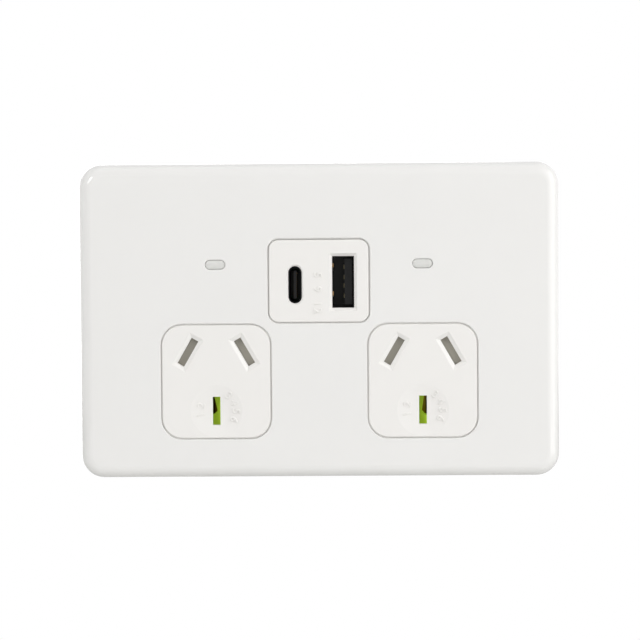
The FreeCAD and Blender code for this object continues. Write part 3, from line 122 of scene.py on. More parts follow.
class PlasticColours(PropertyGroup):
    """Colours of the moulded plastics."""

    cover: colour("Cover", "Gloss white of the clip-on cover", "#EFEEEC")
    frame: colour("Frame", "Gloss white of the socket faces and the USB insert", "#F0EEEB")
    housing: colour("Housing", "Grey of the box behind the plate", "#B4B6B8")
    shutter: colour("Shutter", "Warm grey of the sliding shutter plates", "#A8A499")
    cam: colour("Cam", "Lime green of the cam behind the earth slot", "#B9DA40")
    retainer: colour("Retainer", "Natural nylon of the shutter retainers", "#D9D7CC")
    button: colour("Button", "Frosted light guide of the power buttons", "#DEDEDB")
    insulator: colour("Insulator", "Black resin of the port tongues", "#101011")
    plunger: colour("Plunger", "Black resin of the switch plungers", "#1B1B1C")
    switch: colour("Switch", "Black resin of the switch cases", "#17181A")
    lens: colour("Lens", "Pale phosphor seen through the lamps' resin", "#EFEBCB")


class MetalColours(PropertyGroup):
    """Colours of the metals."""

    brass: colour("Brass", "Stamped contacts and terminals", "#D8B46A")
    nickel: colour("Nickel", "Plated shell of the large port", "#B9B7B2")
    # Near black painted on the small port's shell as the shade deep in that port
    painted_shade_shell: colour("Painted shade shell", "Plated shell of the small port", "#2A2A2C")
    zinc: colour("Zinc", "Plated clamp screws", "#C3C6C8")
    gold: colour("Gold", "Flashed contacts of the small port", "#E2B963")
    # Darker gold painted on the large port's contacts as the shade deep in that port
    shaded_gold: colour("Dull gold", "Darker gold, painted shade, on the contacts of the large port", "#8F866C")
    bronze: colour("Bronze", "Leaf springs in the large port", "#A98A62")
    spring: colour("Spring", "Shutter springs", "#A9ABAE")


class BoardColours(PropertyGroup):
    """Colours of the circuit boards and what is on them."""

    mask: colour("Mask", "Green solder mask of the boards", "#1F5A34")
    case: colour("Case", "Black cases of the relays and the connector", "#1C1D20")
    ferrite: colour("Ferrite", "Dark grey core of the transformer", "#37373A")
    tape: colour("Tape", "Amber tape round the transformer's winding", "#D3B33B")
    sleeve: colour("Sleeve", "Dark blue sleeves of the capacitors", "#1A2338")


class FigureSettings(PropertyGroup):
    """Raised figures beside the earth slots, between the ports and on the rear."""

    left: StringProperty(name="Left figures", description="Figures left of an earth slot", default="12")
    right: StringProperty(name="Right figures", description="Figures right of an earth slot",
                          default="3456")
    insert: StringProperty(name="Insert figures", description="Figures between the ports",
                           default="5 9 12")
    rear: StringProperty(name="Rear figures", description="One figure above each wire entry", default="123")
    height: length("Height", "Height of a figure", 1.9)
    rear_height: length("Rear height", "Height of a rear figure", 3.2)
    relief: length("Relief", "How far a figure stands out below its rounded edge", 0.2)
    arc_left: length("Left arc", "Radius of the arc of the left figures", 3.9)
    arc_right: length("Right arc", "Radius of the arc of the right figures", 4.65)
    start_left: angle("Left start", "Turn of the first left figure from the top", -104.0)
    start_right: angle("Right start", "Turn of the first right figure from the top", 39.0)
    step_left: angle("Left step", "Turn from one left figure to the next", 34.0)
    step_right: angle("Right step", "Turn from one right figure to the next", 26.0)
    insert_step: number("Insert step", "Step between insert figures over their height", 0.92)
    rear_rise: number("Rear rise", "Rear figures above the screws over their height", 1.3)
    rear_relief: number("Rear relief", "Relief of the rear figures over that of the others", 1.2)


class StudioSettings(PropertyGroup):
    """Camera, lamps and floor."""

    distance: reach("Distance", "Camera to the plate's front", 0.6)
    azimuth: angle("Azimuth", "Camera round to the right", 0.97)
    elevation: angle("Elevation", "Camera above the level", 2.86)
    roll: angle("Roll", "Turn of the camera about its view", -0.432)
    lens: number("Lens", "Focal length in millimetres", 139.7)
    aim_x: length("Aim across", "Where on the plate the camera aims, to the right", 0.23)
    aim_z: length("Aim up", "Where on the plate the camera aims, upwards", 0.16)
    front_light: number("Front light", "Soft light from the camera's side", 0.95)
    rear_light: number("Rear light", "Soft light from behind the plate", 0.65)
    ceiling: number("Ceiling", "Share of the soft light that comes from overhead", 0.42)
    front_mirror: number("Front mirror", "What glossy faces mirror in front", 0.3)
    key_power: power("Key", "Power of the soft lamp at the right", 2.85)
    key_size: reach("Key size", "Side of that lamp", 0.82)
    key_place: spot("Key place", "Place of that lamp", (0.66, -0.42, 0.2))
    fill_power: power("Fill", "Power of the large front lamp", 0.3)
    fill_size: reach("Fill size", "Side of that lamp", 1.4)
    fill_place: spot("Fill place", "Place of that lamp", (0.15, -1.6, 0.5))
    window_power: power("Window", "Power of the lamp that reaches into the slots", 3.0)
    window_size: reach("Window size", "Side of that lamp", 0.3)
    window_place: spot("Window place", "Place of that lamp", (-0.62, -1.0, 0.75))
    back_power: power("Back", "Power of the soft lamp behind the plate", 5.0)
    back_size: reach("Back size", "Side of that lamp", 1.0)
    back_place: spot("Back place", "Place of that lamp", (-0.35, 1.4, 0.1))
    spark_power: power("Spark", "Power of the small lamp at the upper left", 2.4)
    spark_size: reach("Spark size", "Side of that lamp", 0.3)
    spark_place: spot("Spark place", "Place of that lamp", (-0.625, -1.01, 0.365))
    floor_drop: reach("Floor", "Floor below the plate's centre", 0.3)
    floor_half: reach("Floor size", "Half the side of the floor", 3.0)
    floor_grey: colour("Floor bounce", "Grey that the floor throws back on the object", "#E8E8E6")
    shadow_share: number("Shadow", "How much of the object's shadow shows below it", 0.08)
    shadow_reach: reach("Shadow reach", "Where the shadow has faded out", 0.8)


# Nodes and materials

def add_node(tree, kind, settings=None, values=None, links=None):
    """A node with its settings, socket values and incoming links."""
    node = tree.nodes.new(kind)
    for name, setting in (settings or {}).items():
        setattr(node, name, setting)
    for socket, value in (values or {}).items():
        node.inputs[socket].default_value = value
    for socket, source in (links or {}).items():
        tree.links.new(source, node.inputs[socket])
    return node


def rgba(colour_value):
    """Colour for a node's socket, which also takes an alpha."""
    return (*colour_value[:3], 1.0)


def surface(name, values):
    """Material with one Principled shader, and its tree, shader and object coordinates."""
    material = bpy.data.materials.new(name)
    material.use_nodes = True
    tree = material.node_tree
    tree.nodes.clear()
    shader = add_node(tree, "ShaderNodeBsdfPrincipled", values=values)
    add_node(tree, "ShaderNodeOutputMaterial", links={"Surface": shader.outputs["BSDF"]})
    place = add_node(tree, "ShaderNodeTexCoord").outputs["Object"]
    return material, tree, shader, place


def tone(tree, shader, place, base, amount, patch_mm):
    """Slight uneven tone over patches of a real size, as resin and metal have."""
    patches = add_node(tree, "ShaderNodeTexNoise", values={"Scale": 1 / (patch_mm * MM), "Detail": 3.0},
                       links={"Vector": place})
    darker = tuple(channel * (1 - amount) for channel in base[:3])
    lighter = tuple(min(1.0, channel * (1 + amount)) for channel in base[:3])
    blend = add_node(tree, "ShaderNodeMix", {"data_type": "RGBA"},
                     {6: rgba(darker), 7: rgba(lighter)}, {0: patches.outputs["Fac"]})
    tree.links.new(blend.outputs[2], shader.inputs["Base Color"])


def relief(tree, shader, height, depth_mm):
    """Bump of a real depth from a height between 0 and 1."""
    bump = add_node(tree, "ShaderNodeBump", values={"Strength": 1.0, "Distance": depth_mm * MM},
                    links={"Height": height})
    tree.links.new(bump.outputs["Normal"], shader.inputs["Normal"])


def moulded(name, base, roughness, grain_mm, depth_mm, amount=0.015, patch_mm=18.0, **values):
    """Moulded plastic: even colour, and the grain of the tool's surface."""
    sockets = {"Roughness": roughness, "IOR": 1.5}
    sockets.update(values)
    material, tree, shader, place = surface(name, sockets)
    tone(tree, shader, place, base, amount, patch_mm)
    grain = add_node(tree, "ShaderNodeTexNoise", values={"Scale": 1 / (grain_mm * MM), "Detail": 2.0},
                     links={"Vector": place})
    relief(tree, shader, grain.outputs["Fac"], depth_mm)
    return material


def rolled(name, base, roughness, streak_mm, depth_mm, amount=0.06):
    """Metal strip or wire with fine lines drawn along X by the rolls."""
    material, tree, shader, place = surface(name, {"Metallic": 1.0, "Roughness": roughness})
    stretch = add_node(tree, "ShaderNodeMapping", values={"Scale": (0.05, 1.0, 1.0)},
                       links={"Vector": place})
    lines = add_node(tree, "ShaderNodeTexNoise", values={"Scale": 1 / (streak_mm * MM), "Detail": 2.0},
                     links={"Vector": stretch.outputs["Vector"]})
    tone(tree, shader, place, base, amount, 3.0)
    relief(tree, shader, lines.outputs["Fac"], depth_mm)
    return material


def grained_grey(base):
    """Grey polycarbonate from a spark-eroded tool: an even fine grain takes the gloss off."""
    return moulded("grained_grey_polycarbonate", base, roughness=0.52, grain_mm=0.35, depth_mm=0.012,
                   amount=0.03, patch_mm=12.0)


def finish(nodes, material):
    """Give one material to CAD nodes."""
    for name in nodes:
        for slot in frame["nodes"][name].material_slots:
            slot.material = material


def both(*stems):
    """Names of the nodes that stand once on each side."""
    return [f"{stem}_{side}" for stem in stems for side in SIDES]


# Meshes

def add_piece(name, mesh_data, material, body="socket", sharp=40.0):
    """Link a finished mesh as a piece that rides on a body."""
    if isinstance(mesh_data, bmesh.types.BMesh):
        mesh = bpy.data.meshes.new(name)
        mesh_data.to_mesh(mesh)
        mesh_data.free()
    else:
        mesh = mesh_data
    mesh.materials.clear()
    mesh.materials.append(material)
    mesh.shade_smooth()
    mesh.set_sharp_from_angle(angle=math.radians(sharp))
    piece = bpy.data.objects.new(name, mesh)
    bpy.context.scene.collection.objects.link(piece)
    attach(piece, body)
    return piece


def merged_copy(node):
    """Copy of a CAD node's mesh with its loose triangles joined."""
    bm = bmesh.new()
    bm.from_mesh(frame["nodes"][node].data)
    bmesh.ops.remove_doubles(bm, verts=bm.verts, dist=MM / 1000)
    return bm


def carved(bm, cutter):
    """Mesh of a closed shape with a closed cutter taken out of it."""
    items = []
    for name, shape in (("carved", bm), ("cutter", cutter)):
        mesh = bpy.data.meshes.new(name)
        shape.to_mesh(mesh)
        shape.free()
        items.append(bpy.data.objects.new(name, mesh))
        bpy.context.scene.collection.objects.link(items[-1])
    cut = items[0].modifiers.new("cut", "BOOLEAN")
    cut.operation = "DIFFERENCE"
    cut.solver = "EXACT"
    cut.object = items[1]
    bpy.context.view_layer.update()
    depsgraph = bpy.context.evaluated_depsgraph_get()
    mesh = bpy.data.meshes.new_from_object(items[0].evaluated_get(depsgraph))
    for item in items:
        bpy.data.objects.remove(item)
    return mesh


def figure(character, height, depth):
    """Mesh of one figure, centred on the origin in X and Y, its front towards +Z."""
    curve = bpy.data.curves.new("figure", "FONT")
    curve.body = character
    curve.size = height * FONT_SIZE
    curve.align_x = "CENTER"
    curve.align_y = "CENTER"
    curve.extrude = depth
    curve.bevel_depth = depth * 0.3
    curve.bevel_resolution = 1
    curve.resolution_u = 6
    stand_in = bpy.data.objects.new("figure", curve)
    bpy.context.scene.collection.objects.link(stand_in)
    bpy.context.view_layer.update()
    mesh = bpy.data.meshes.new_from_object(stand_in.evaluated_get(bpy.context.evaluated_depsgraph_get()))
    bpy.data.objects.remove(stand_in)
    bpy.data.curves.remove(curve)
    return mesh


def add_figures(bm, places, height, depth):
    """Add figures at (character, matrix) places to a bmesh."""
    for character, matrix in places:
        mesh = figure(character, height, depth)
        mesh.transform(matrix)
        bm.from_mesh(mesh)
        bpy.data.meshes.remove(mesh)
    bmesh.ops.remove_doubles(bm, verts=bm.verts, dist=height / 1000)


# Operators

class SOCKET_OT_white_mouldings(Operator):
    """Gloss white cover, socket frame and USB insert"""

    bl_idname = "wall_socket.white_mouldings"
    bl_label = "White mouldings"

    def execute(self, context):
        colours = context.scene.socket_plastics
        # Polished polycarbonate: sharp gloss, with the faintest ripple from the tool
        cover = moulded("polished_white_polycarbonate", colours.cover, roughness=0.16, grain_mm=2.5,
                        depth_mm=0.0009, **{"Coat Weight": 0.5, "Coat Roughness": 0.04})
        # The frame's resin is a touch warmer and less polished than the cover's
        faces = moulded("white_polycarbonate_frame", colours.frame, roughness=0.34, grain_mm=1.8,
                        depth_mm=0.0009)
        finish(["face_cover"], cover)
        finish(["socket_front", "usb_insert"], faces)
        return {"FINISHED"}


class SOCKET_OT_shutter_sets(Operator):
    """Shutter plates, cams, retainers and springs"""

    bl_idname = "wall_socket.shutter_sets"
    bl_label = "Shutters"

    cam_toe: length("Cam toe", "Cam's thin end left of its earth slot's middle", 1.35)
    relief_edge: length("Relief edge", "Relief's wide side from the middle of the slot", 0.94)
    relief_nose: length("Relief nose", "Relief's tip past the middle of the slot", 0.2)
    relief_tip: length("Relief tip", "Relief's tip below the middle of the slot", 0.55)
    relief_head: length("Relief head", "Top of the relief above the middle of the slot", 3.45)
    relief_foot: length("Relief foot", "Foot of the relief below the middle of the slot", 1.25)
    relief_top: length("Relief top", "Width of the opposed relief at its top", 0.6)
    relief_end: length("Relief end", "Width of the opposed relief at its foot", 0.34)
    opposed_foot: length("Opposed foot", "Foot of the opposed relief below the middle of the slot", 1.5)

    def execute(self, context):
        colours = context.scene.socket_plastics
        # Acetal is waxy, so it shines softly and shows no grain
        plate = moulded("grey_acetal_shutter", colours.shutter, roughness=0.42, grain_mm=0.5, depth_mm=0.002)
        finish(both("shutter_plate"), plate)
        # The cam is given a faint glow of its own lime: painted light that keeps it bright down in the shade
        # of its slot
        cam = moulded("lime_acetal_cam_painted_glow", colours.cam, roughness=0.35, grain_mm=0.5, depth_mm=0.002,
                      amount=0.05, patch_mm=2.0,
                      **{"Emission Color": rgba(colours.cam), "Emission Strength": 0.26})
        finish(["shutter_cam_left"], cam)
        self.add_opposed_cam(cam)
        # Unfilled nylon is milky and a little uneven
        nylon = moulded("natural_nylon", colours.retainer, roughness=0.5, grain_mm=0.6, depth_mm=0.003,
                        amount=0.04)
        finish(both("shutter_retainer"), nylon)
        # Bare spring steel keeps the cool, half-bright lines of the rolls
        steel = rolled("spring_steel_strip", context.scene.socket_metals.spring, roughness=0.32,
                       streak_mm=0.05, depth_mm=0.001)
        for side in SIDES:
            self.add_return_spring(side, steel)
        return {"FINISHED"}

    def add_opposed_cam(self, material):
        """Right cam, whose relief for the earth pin opens on the other side of the slot."""
        node = "shutter_cam_right"
        low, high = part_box(node)
        bm = merged_copy(node)
        hair = MM / 10
        middle = low.x + self.cam_toe
        earth = EARTH_SLOT * MM
        head = earth + self.relief_head
        foot = earth - self.relief_foot
        # The node's own relief is closed: its points drop to the nearest corner of its foot
        in_relief = [vert for vert in bm.verts if foot - hair < vert.co.z < head + hair]
        corners = [vert.co.copy() for vert in in_relief if abs(vert.co.z - foot) < hair]
        for vert in in_relief:
            dropped = Vector((vert.co.x, vert.co.y, foot))
            vert.co = min(corners, key=lambda corner: (corner - dropped).length)
        walls = [face for face in bm.faces if all(abs(vert.co.z - foot) < hair for vert in face.verts)]
        bmesh.ops.delete(bm, geom=walls, context="FACES_ONLY")
        bmesh.ops.remove_doubles(bm, verts=bm.verts, dist=MM / 1000)
        bmesh.ops.dissolve_limit(bm, angle_limit=math.radians(1), verts=bm.verts, edges=bm.edges)

        # The cutter for the opposed relief reaches past the cam on its right, front and rear
        cutter = bmesh.new()
        edge = middle + self.relief_edge
        beyond = middle + 1.5 * self.relief_edge
        outline = [(beyond, self.relief_head),
                   (edge - self.relief_top, self.relief_head),
                   (middle - self.relief_nose, -self.relief_tip),
                   (edge - self.relief_end, -self.opposed_foot),
                   (beyond, -self.opposed_foot)]
        face = cutter.faces.new([cutter.verts.new((across, low.y - MM, earth + rise))
                                 for across, rise in outline])
        turned = bmesh.ops.extrude_face_region(cutter, geom=[face])
        far = [item for item in turned["geom"] if isinstance(item, bmesh.types.BMVert)]
        bmesh.ops.translate(cutter, verts=far, vec=(0, high.y - low.y + 2 * MM, 0))
        bmesh.ops.recalc_face_normals(cutter, faces=cutter.faces)
        piece = add_piece("opposed_cam_right", carved(bm, cutter), material, "shutter_right")
        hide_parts(node)

    def add_return_spring(self, side, material):
        """Folded spring for a shutter, copied from its CAD node to ride on the socket."""
        node = f"shutter_spring_{side}"
        piece = add_piece(f"return_spring_{side}", merged_copy(node), material)
        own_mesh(piece)
        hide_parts(node)


class SOCKET_OT_power_buttons(Operator):
    """Power buttons with their switches and lamps"""

    bl_idname = "wall_socket.power_buttons"
    bl_label = "Power buttons"

    flange: length("Flange", "How far the hidden flange stands out round the pill", 1.0)
    pill_depth: length("Pill depth", "How far the pill stands in front of its flange", 1.0)
    growth: length("Growth", "How much closer the pill comes to its window", 0.08)

    def execute(self, context):
        colours = context.scene.socket_plastics
        # A frosted light guide glows from the light that enters round its edge
        guide = moulded("frosted_light_guide", colours.button, roughness=0.38, grain_mm=0.3,
                        depth_mm=0.0015, amount=0.03, patch_mm=1.5,
                        **{"Subsurface Weight": 0.35, "Subsurface Radius": (0.8, 0.8, 0.8),
                           "Subsurface Scale": 0.6 * MM})
        for side in SIDES:
            self.add_snug_guide(side, guide)
        # Black acetal and black nylon both have a soft sheen, and the nylon is the drier one
        plunger = moulded("black_acetal_plunger", colours.plunger, roughness=0.45, grain_mm=0.4,
                          depth_mm=0.002)
        finish(both("switch_plunger"), plunger)
        case = moulded("black_nylon_case", colours.switch, roughness=0.5, grain_mm=0.3, depth_mm=0.003)
        finish(both("tact_switch"), case)
        # Cast epoxy: clear gloss over the pale phosphor
        lens = moulded("cast_epoxy_lens", colours.lens, roughness=0.12, grain_mm=1.0, depth_mm=0.0005)
        finish(both("led"), lens)
        return {"FINISHED"}

    def add_snug_guide(self, side, material):
        """Button whose pill fills its window more closely than the solid's does."""
        node = f"power_button_{side}"
        low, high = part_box(node)
        middle = (low + high) / 2
        half_length = (high.x - low.x) / 2 - self.flange
        half_width = (high.z - low.z) / 2 - self.flange
        pill_back = low.y + self.pill_depth
        # Points this far from the pill's long axis are on its wall or its rounded edge
        nearest = half_width / 2
        farthest = half_width * 1.02
        bm = merged_copy(node)
        for vert in bm.verts:
            across = vert.co.x - middle.x
            on_axis = max(half_width - half_length, min(half_length - half_width, across))
            outwards = Vector((across - on_axis, 0, vert.co.z - middle.z))
            if vert.co.y < pill_back and nearest < outwards.length < farthest:
                vert.co += outwards.normalized() * self.growth
        piece = add_piece(f"light_guide_{side}", bm, material, f"button_{side}")
        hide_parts(node)


class SOCKET_OT_usb_ports(Operator):
    """Shells, tongues and contacts of the USB ports"""

    bl_idname = "wall_socket.usb_ports"
    bl_label = "USB ports"

    shell_wall: length("Shell wall", "Thickness of the large port's shell", 0.3)
    spring_length: length("Spring length", "Length of a leaf spring", 3.6)
    spring_width: length("Spring width", "Width of a leaf spring", 1.0)
    spring_thickness: length("Spring thickness", "Thickness of the spring strip", 0.12)
    spring_bow: length("Spring bow", "How far a leaf spring bows inwards", 0.38)
    spring_spread: length("Spring spread", "From the port's middle to a leaf spring", 3.4)
    spring_setback: length("Spring setback", "Leaf springs behind the shell's mouth", 0.15)
    spring_lift: length("Spring lift", "Middle of the leaf springs above the port's middle", 0.6)
    spring_crest: number("Spring crest", "Below 1 moves the crest towards the mouth", 0.4)
    pad_count: IntProperty(name="Pads", description="Contact pads on each face of the small port's tongue",
                           default=12)
    pad_pitch: length("Pad pitch", "From one contact pad to the next", 0.5)
    pad_width: length("Pad width", "Width of a contact pad", 0.25)
    pad_length: length("Pad length", "Length of a contact pad", 2.6)
    pad_height: length("Pad height", "How far a contact pad stands out", 0.04)
    pad_edge: length("Pad edge", "Bevel round a contact pad", 0.016)
    pad_setback: length("Pad setback", "Contact pads behind the tongue's end", 0.5)
    tongue_half: length("Tongue half", "Half the thickness of the small port's tongue", 0.35)

    def execute(self, context):
        metals = context.scene.socket_metals
        # Liquid crystal polymer is a dull even black, and the contacts stand out on it
        black = moulded("black_crystal_polymer", context.scene.socket_plastics.insulator, roughness=0.38,
                        grain_mm=0.4, depth_mm=0.002)
        finish(["usb_a_tongue", "usb_c_tongue"], black)
        # Nickel plate mirrors a little warm, softened by the fine lines of the strip
        nickel = rolled("nickel_plated_shell", metals.nickel, roughness=0.3, streak_mm=0.06, depth_mm=0.001)
        finish(["usb_a_shell"], nickel)
        # The small port's shell is coloured near black: painted shade for the dark depth of the port. It
        # mirrors only the brightest lamps, so this port reads as a dark hole
        painted_shade_shell = rolled("painted_shade_usb_c_shell", metals.painted_shade_shell, roughness=0.34, streak_mm=0.06,
                              depth_mm=0.001)
        finish(["usb_c_shell"], painted_shade_shell)
        # The large port's contacts are a darker, duller gold: painted shade for their place deep in the port
        painted_shade_gold = rolled("painted_shade_gold_contact", metals.shaded_gold, roughness=0.42, streak_mm=0.05,
                           depth_mm=0.001, amount=0.15)
        finish(["usb_a_contacts"], painted_shade_gold)
        # Spring bronze keeps a warm, half-bright rolled surface
        bronze = rolled("phosphor_bronze_strip", metals.bronze, roughness=0.45, streak_mm=0.06,
                        depth_mm=0.001)
        self.add_leaf_springs(bronze)
        # Gold flash keeps the die marks of the nickel strip below it
        gold = rolled("gold_flashed_contact", metals.gold, roughness=0.22, streak_mm=0.05, depth_mm=0.0006)
        self.add_contact_pads(gold)
        return {"FINISHED"}

    def add_leaf_springs(self, material):
        """Two leaf springs on the left wall of the large port, bowed towards the plug."""
        low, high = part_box("usb_a_shell")
        middle = (low.z + high.z) / 2 + self.spring_lift
        strips = bmesh.new()
        for spread in (-self.spring_spread, self.spring_spread):
            start = Vector((low.x + self.shell_wall, low.y + self.spring_setback, middle + spread))
            strip = Matrix(((0, 0, 1, start.x), (self.spring_length, 0, 0, start.y),
                            (0, self.spring_width, 0, start.z), (0, 0, 0, 1)))
            made = bmesh.ops.create_grid(strips, x_segments=12, y_segments=1, size=0.5, matrix=strip)
            for vert in made["verts"]:
                along = (vert.co.y - start.y) / self.spring_length + 0.5
                vert.co.x += self.spring_bow * math.sin(math.pi * along ** self.spring_crest)
                vert.co.y += self.spring_length / 2
        bmesh.ops.recalc_face_normals(strips, faces=strips.faces)
        bmesh.ops.solidify(strips, geom=list(strips.faces), thickness=self.spring_thickness)
        bmesh.ops.recalc_face_normals(strips, faces=strips.faces)
        add_piece("usb_a_leaf_springs", strips, material)

    def add_contact_pads(self, material):
        """Row of thin contact pads on each face of the small port's tongue."""
        low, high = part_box("usb_c_tongue")
        middle = (low + high) / 2
        pads = bmesh.new()
        for face in (-1, 1):
            for index in range(self.pad_count):
                rise = (index - (self.pad_count - 1) / 2) * self.pad_pitch
                at = Vector((middle.x + face * self.tongue_half,
                             low.y + self.pad_setback + self.pad_length / 2, middle.z + rise))
                size = Matrix.Diagonal((2 * self.pad_height, self.pad_length, self.pad_width, 1))
                made = bmesh.ops.create_cube(pads, size=1, matrix=Matrix.Translation(at) @ size)
                edges = dict.fromkeys(edge for vert in made["verts"] for edge in vert.link_edges)
                bmesh.ops.bevel(pads, geom=list(edges), offset=self.pad_edge, segments=1, affect="EDGES",
                                profile=0.5, material=-1)
        add_piece("usb_c_contacts", pads, material)


class SOCKET_OT_raised_figures(Operator):
    """Small raised figures beside the earth slots, between the ports and on the rear"""

    bl_idname = "wall_socket.raised_figures"
    bl_label = "Raised figures"

    dish_radius: length("Dish radius", "Radius of the hollow round an earth slot", 6.3)
    dish_depth: length("Dish depth", "Depth of that hollow at its middle", 0.55)
    face_level: length("Face level", "Socket faces in front of the wall", 9.0)
    socket_pitch: length("Socket pitch", "Distance between the two sockets", 50.0)
    insert_x: length("Insert figures across", "Middle of the figures between the ports", -0.35)
    insert_z: length("Insert figures up", "Middle of the figures between the ports", 6.7)

    def execute(self, context):
        settings = context.scene.socket_figures
        colours = context.scene.socket_plastics
        # The faces' resin, a touch glossier where the tool is engraved
        resin = moulded("white_polycarbonate_figures", colours.frame, roughness=0.3, grain_mm=1.8,
                        depth_mm=0.0009)
        for side, sign in SIDES.items():
            self.mark_socket(side, sign * self.socket_pitch / 2, settings, resin)
        self.mark_insert(settings, resin)
        self.mark_entries(settings, grained_grey(colours.housing))
        return {"FINISHED"}

    def mark_socket(self, side, across, settings, material):
        """Two arcs of figures in the hollow round an earth slot."""
        bm = bmesh.new()
        centre = Vector((across, 0, EARTH_SLOT * MM))
        arcs = ((settings.left, settings.arc_left, settings.start_left, settings.step_left),
                (settings.right, settings.arc_right, settings.start_right, settings.step_right))
        for words, radius, start, step in arcs:
            places = []
            for index, character in enumerate(words):
                turn = Matrix.Rotation(start + index * step, 4, "Y")
                rise = Matrix.Translation((0, 0, radius))
                places.append((character, Matrix.Translation(centre) @ turn @ rise @ FACING))
            add_figures(bm, places, settings.height, settings.relief)
        self.seat_in_dish(bm, centre)
        add_piece(f"raised_figures_{side}", bm, material)

    def seat_in_dish(self, bm, centre):
        """Set each point back by the depth of the hollow below it."""
        bend = (self.dish_radius ** 2 + self.dish_depth ** 2) / (2 * self.dish_depth)
        for vert in bm.verts:
            across = math.hypot(vert.co.x - centre.x, vert.co.z - centre.z)
            depth = max(0.0, math.sqrt(bend ** 2 - across ** 2) - bend + self.dish_depth)
            vert.co.y += depth - self.face_level

    def mark_insert(self, settings, material):
        """Row of figures between the ports, turned to run along them."""
        bm = bmesh.new()
        step = settings.height * settings.insert_step
        words = settings.insert
        turn = Matrix.Rotation(math.radians(90), 4, "Y")
        places = []
        for index, character in enumerate(words):
            if character == " ":
                continue
            drop = ((len(words) - 1) / 2 - index) * step
            at = Vector((self.insert_x, -self.face_level, self.insert_z + drop))
            places.append((character, Matrix.Translation(at) @ turn @ FACING))
        add_figures(bm, places, settings.height, settings.relief)
        add_piece("raised_figures_insert", bm, material)

    def mark_entries(self, settings, material):
        """One raised figure above each wire entry at the back."""
        low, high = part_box("terminal_screws")
        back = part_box("rear_housing")[1].y
        radius = (high.z - low.z) / 2
        bm = bmesh.new()
        places = []
        for index, character in enumerate(settings.rear):
            across = high.x - radius - index * ((high.x - low.x) / 2 - radius)
            at = Vector((across, back, high.z + settings.rear_height * settings.rear_rise))
            places.append((character, Matrix.Translation(at) @ REARWARD))
        add_figures(bm, places, settings.rear_height, settings.relief * settings.rear_relief)
        add_piece("raised_figures_rear", bm, material)


class SOCKET_OT_wiring_metal(Operator):
    """Brass contacts, bars and terminals, and the slotted clamp screws"""

    bl_idname = "wall_socket.wiring_metal"
    bl_label = "Wiring metal"

    slot_half: length("Slot half", "Half the width of a screw's driver slot", 0.25)
    slot_depth: length("Slot depth", "Depth of a screw's driver slot", 0.7)

    def execute(self, context):
        metals = context.scene.socket_metals
        # Half-hard brass strip, stamped and left bright
        brass = rolled("stamped_brass", metals.brass, roughness=0.28, streak_mm=0.08, depth_mm=0.0015)
        finish(both("active_contact") + ["neutral_bar", "earth_bar", "active_link"], brass)
        finish(["active_terminal", "neutral_terminal", "earth_terminal"], brass)
        # Bright zinc plate, a little cloudy
        zinc = rolled("zinc_plated_steel", metals.zinc, roughness=0.36, streak_mm=0.1, depth_mm=0.002,
                      amount=0.1)
        low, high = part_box("terminal_screws")
        radius = (high.z - low.z) / 2
        screws = bmesh.new()
        for across in (low.x + radius, (low.x + high.x) / 2, high.x - radius):
            front = Vector((across, low.y, (low.z + high.z) / 2))
            self.add_screw(screws, front, radius, high.y - low.y)
        piece = add_piece("clamp_screws", screws, zinc)
        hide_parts("terminal_screws")
        return {"FINISHED"}

    def add_screw(self, bm, front, radius, depth):
        """Headless screw along Y with a driver slot in its rear end."""
        hair = radius / 100
        single = bmesh.new()
        bmesh.ops.create_circle(single, cap_ends=True, cap_tris=False, segments=32, radius=radius)
        turned = bmesh.ops.extrude_face_region(single, geom=list(single.faces))
        rear = [item for item in turned["geom"] if isinstance(item, bmesh.types.BMVert)]
        bmesh.ops.translate(single, verts=rear, vec=(0, 0, depth))
        bmesh.ops.recalc_face_normals(single, faces=single.faces)
        rims = [edge for edge in single.edges if abs(edge.verts[0].co.z - edge.verts[1].co.z) < hair]
        bmesh.ops.bevel(single, geom=rims, offset=radius * 0.12, segments=2, affect="EDGES", profile=0.5,
                        material=-1)
        for cut in (-self.slot_half, self.slot_half):
            everything = [*single.verts, *single.edges, *single.faces]
            bmesh.ops.bisect_plane(single, geom=everything, plane_co=(cut, 0, 0), plane_no=(1, 0, 0))
        strip = [face for face in single.faces
                 if face.calc_center_median().z > depth - hair
                 and abs(face.calc_center_median().x) < self.slot_half / 2]
        sunk = bmesh.ops.extrude_face_region(single, geom=strip)
        bmesh.ops.delete(single, geom=strip, context="FACES_ONLY")
        moved = [item for item in sunk["geom"] if isinstance(item, bmesh.types.BMVert)]
        bmesh.ops.translate(single, verts=moved, vec=(0, 0, -self.slot_depth))
        bmesh.ops.recalc_face_normals(single, faces=single.faces)
        mesh = bpy.data.meshes.new("clamp_screw")
        single.to_mesh(mesh)
        single.free()
        mesh.transform(Matrix.Translation(front) @ Matrix.Rotation(math.radians(-90), 4, "X"))
        bm.from_mesh(mesh)
        bpy.data.meshes.remove(mesh)


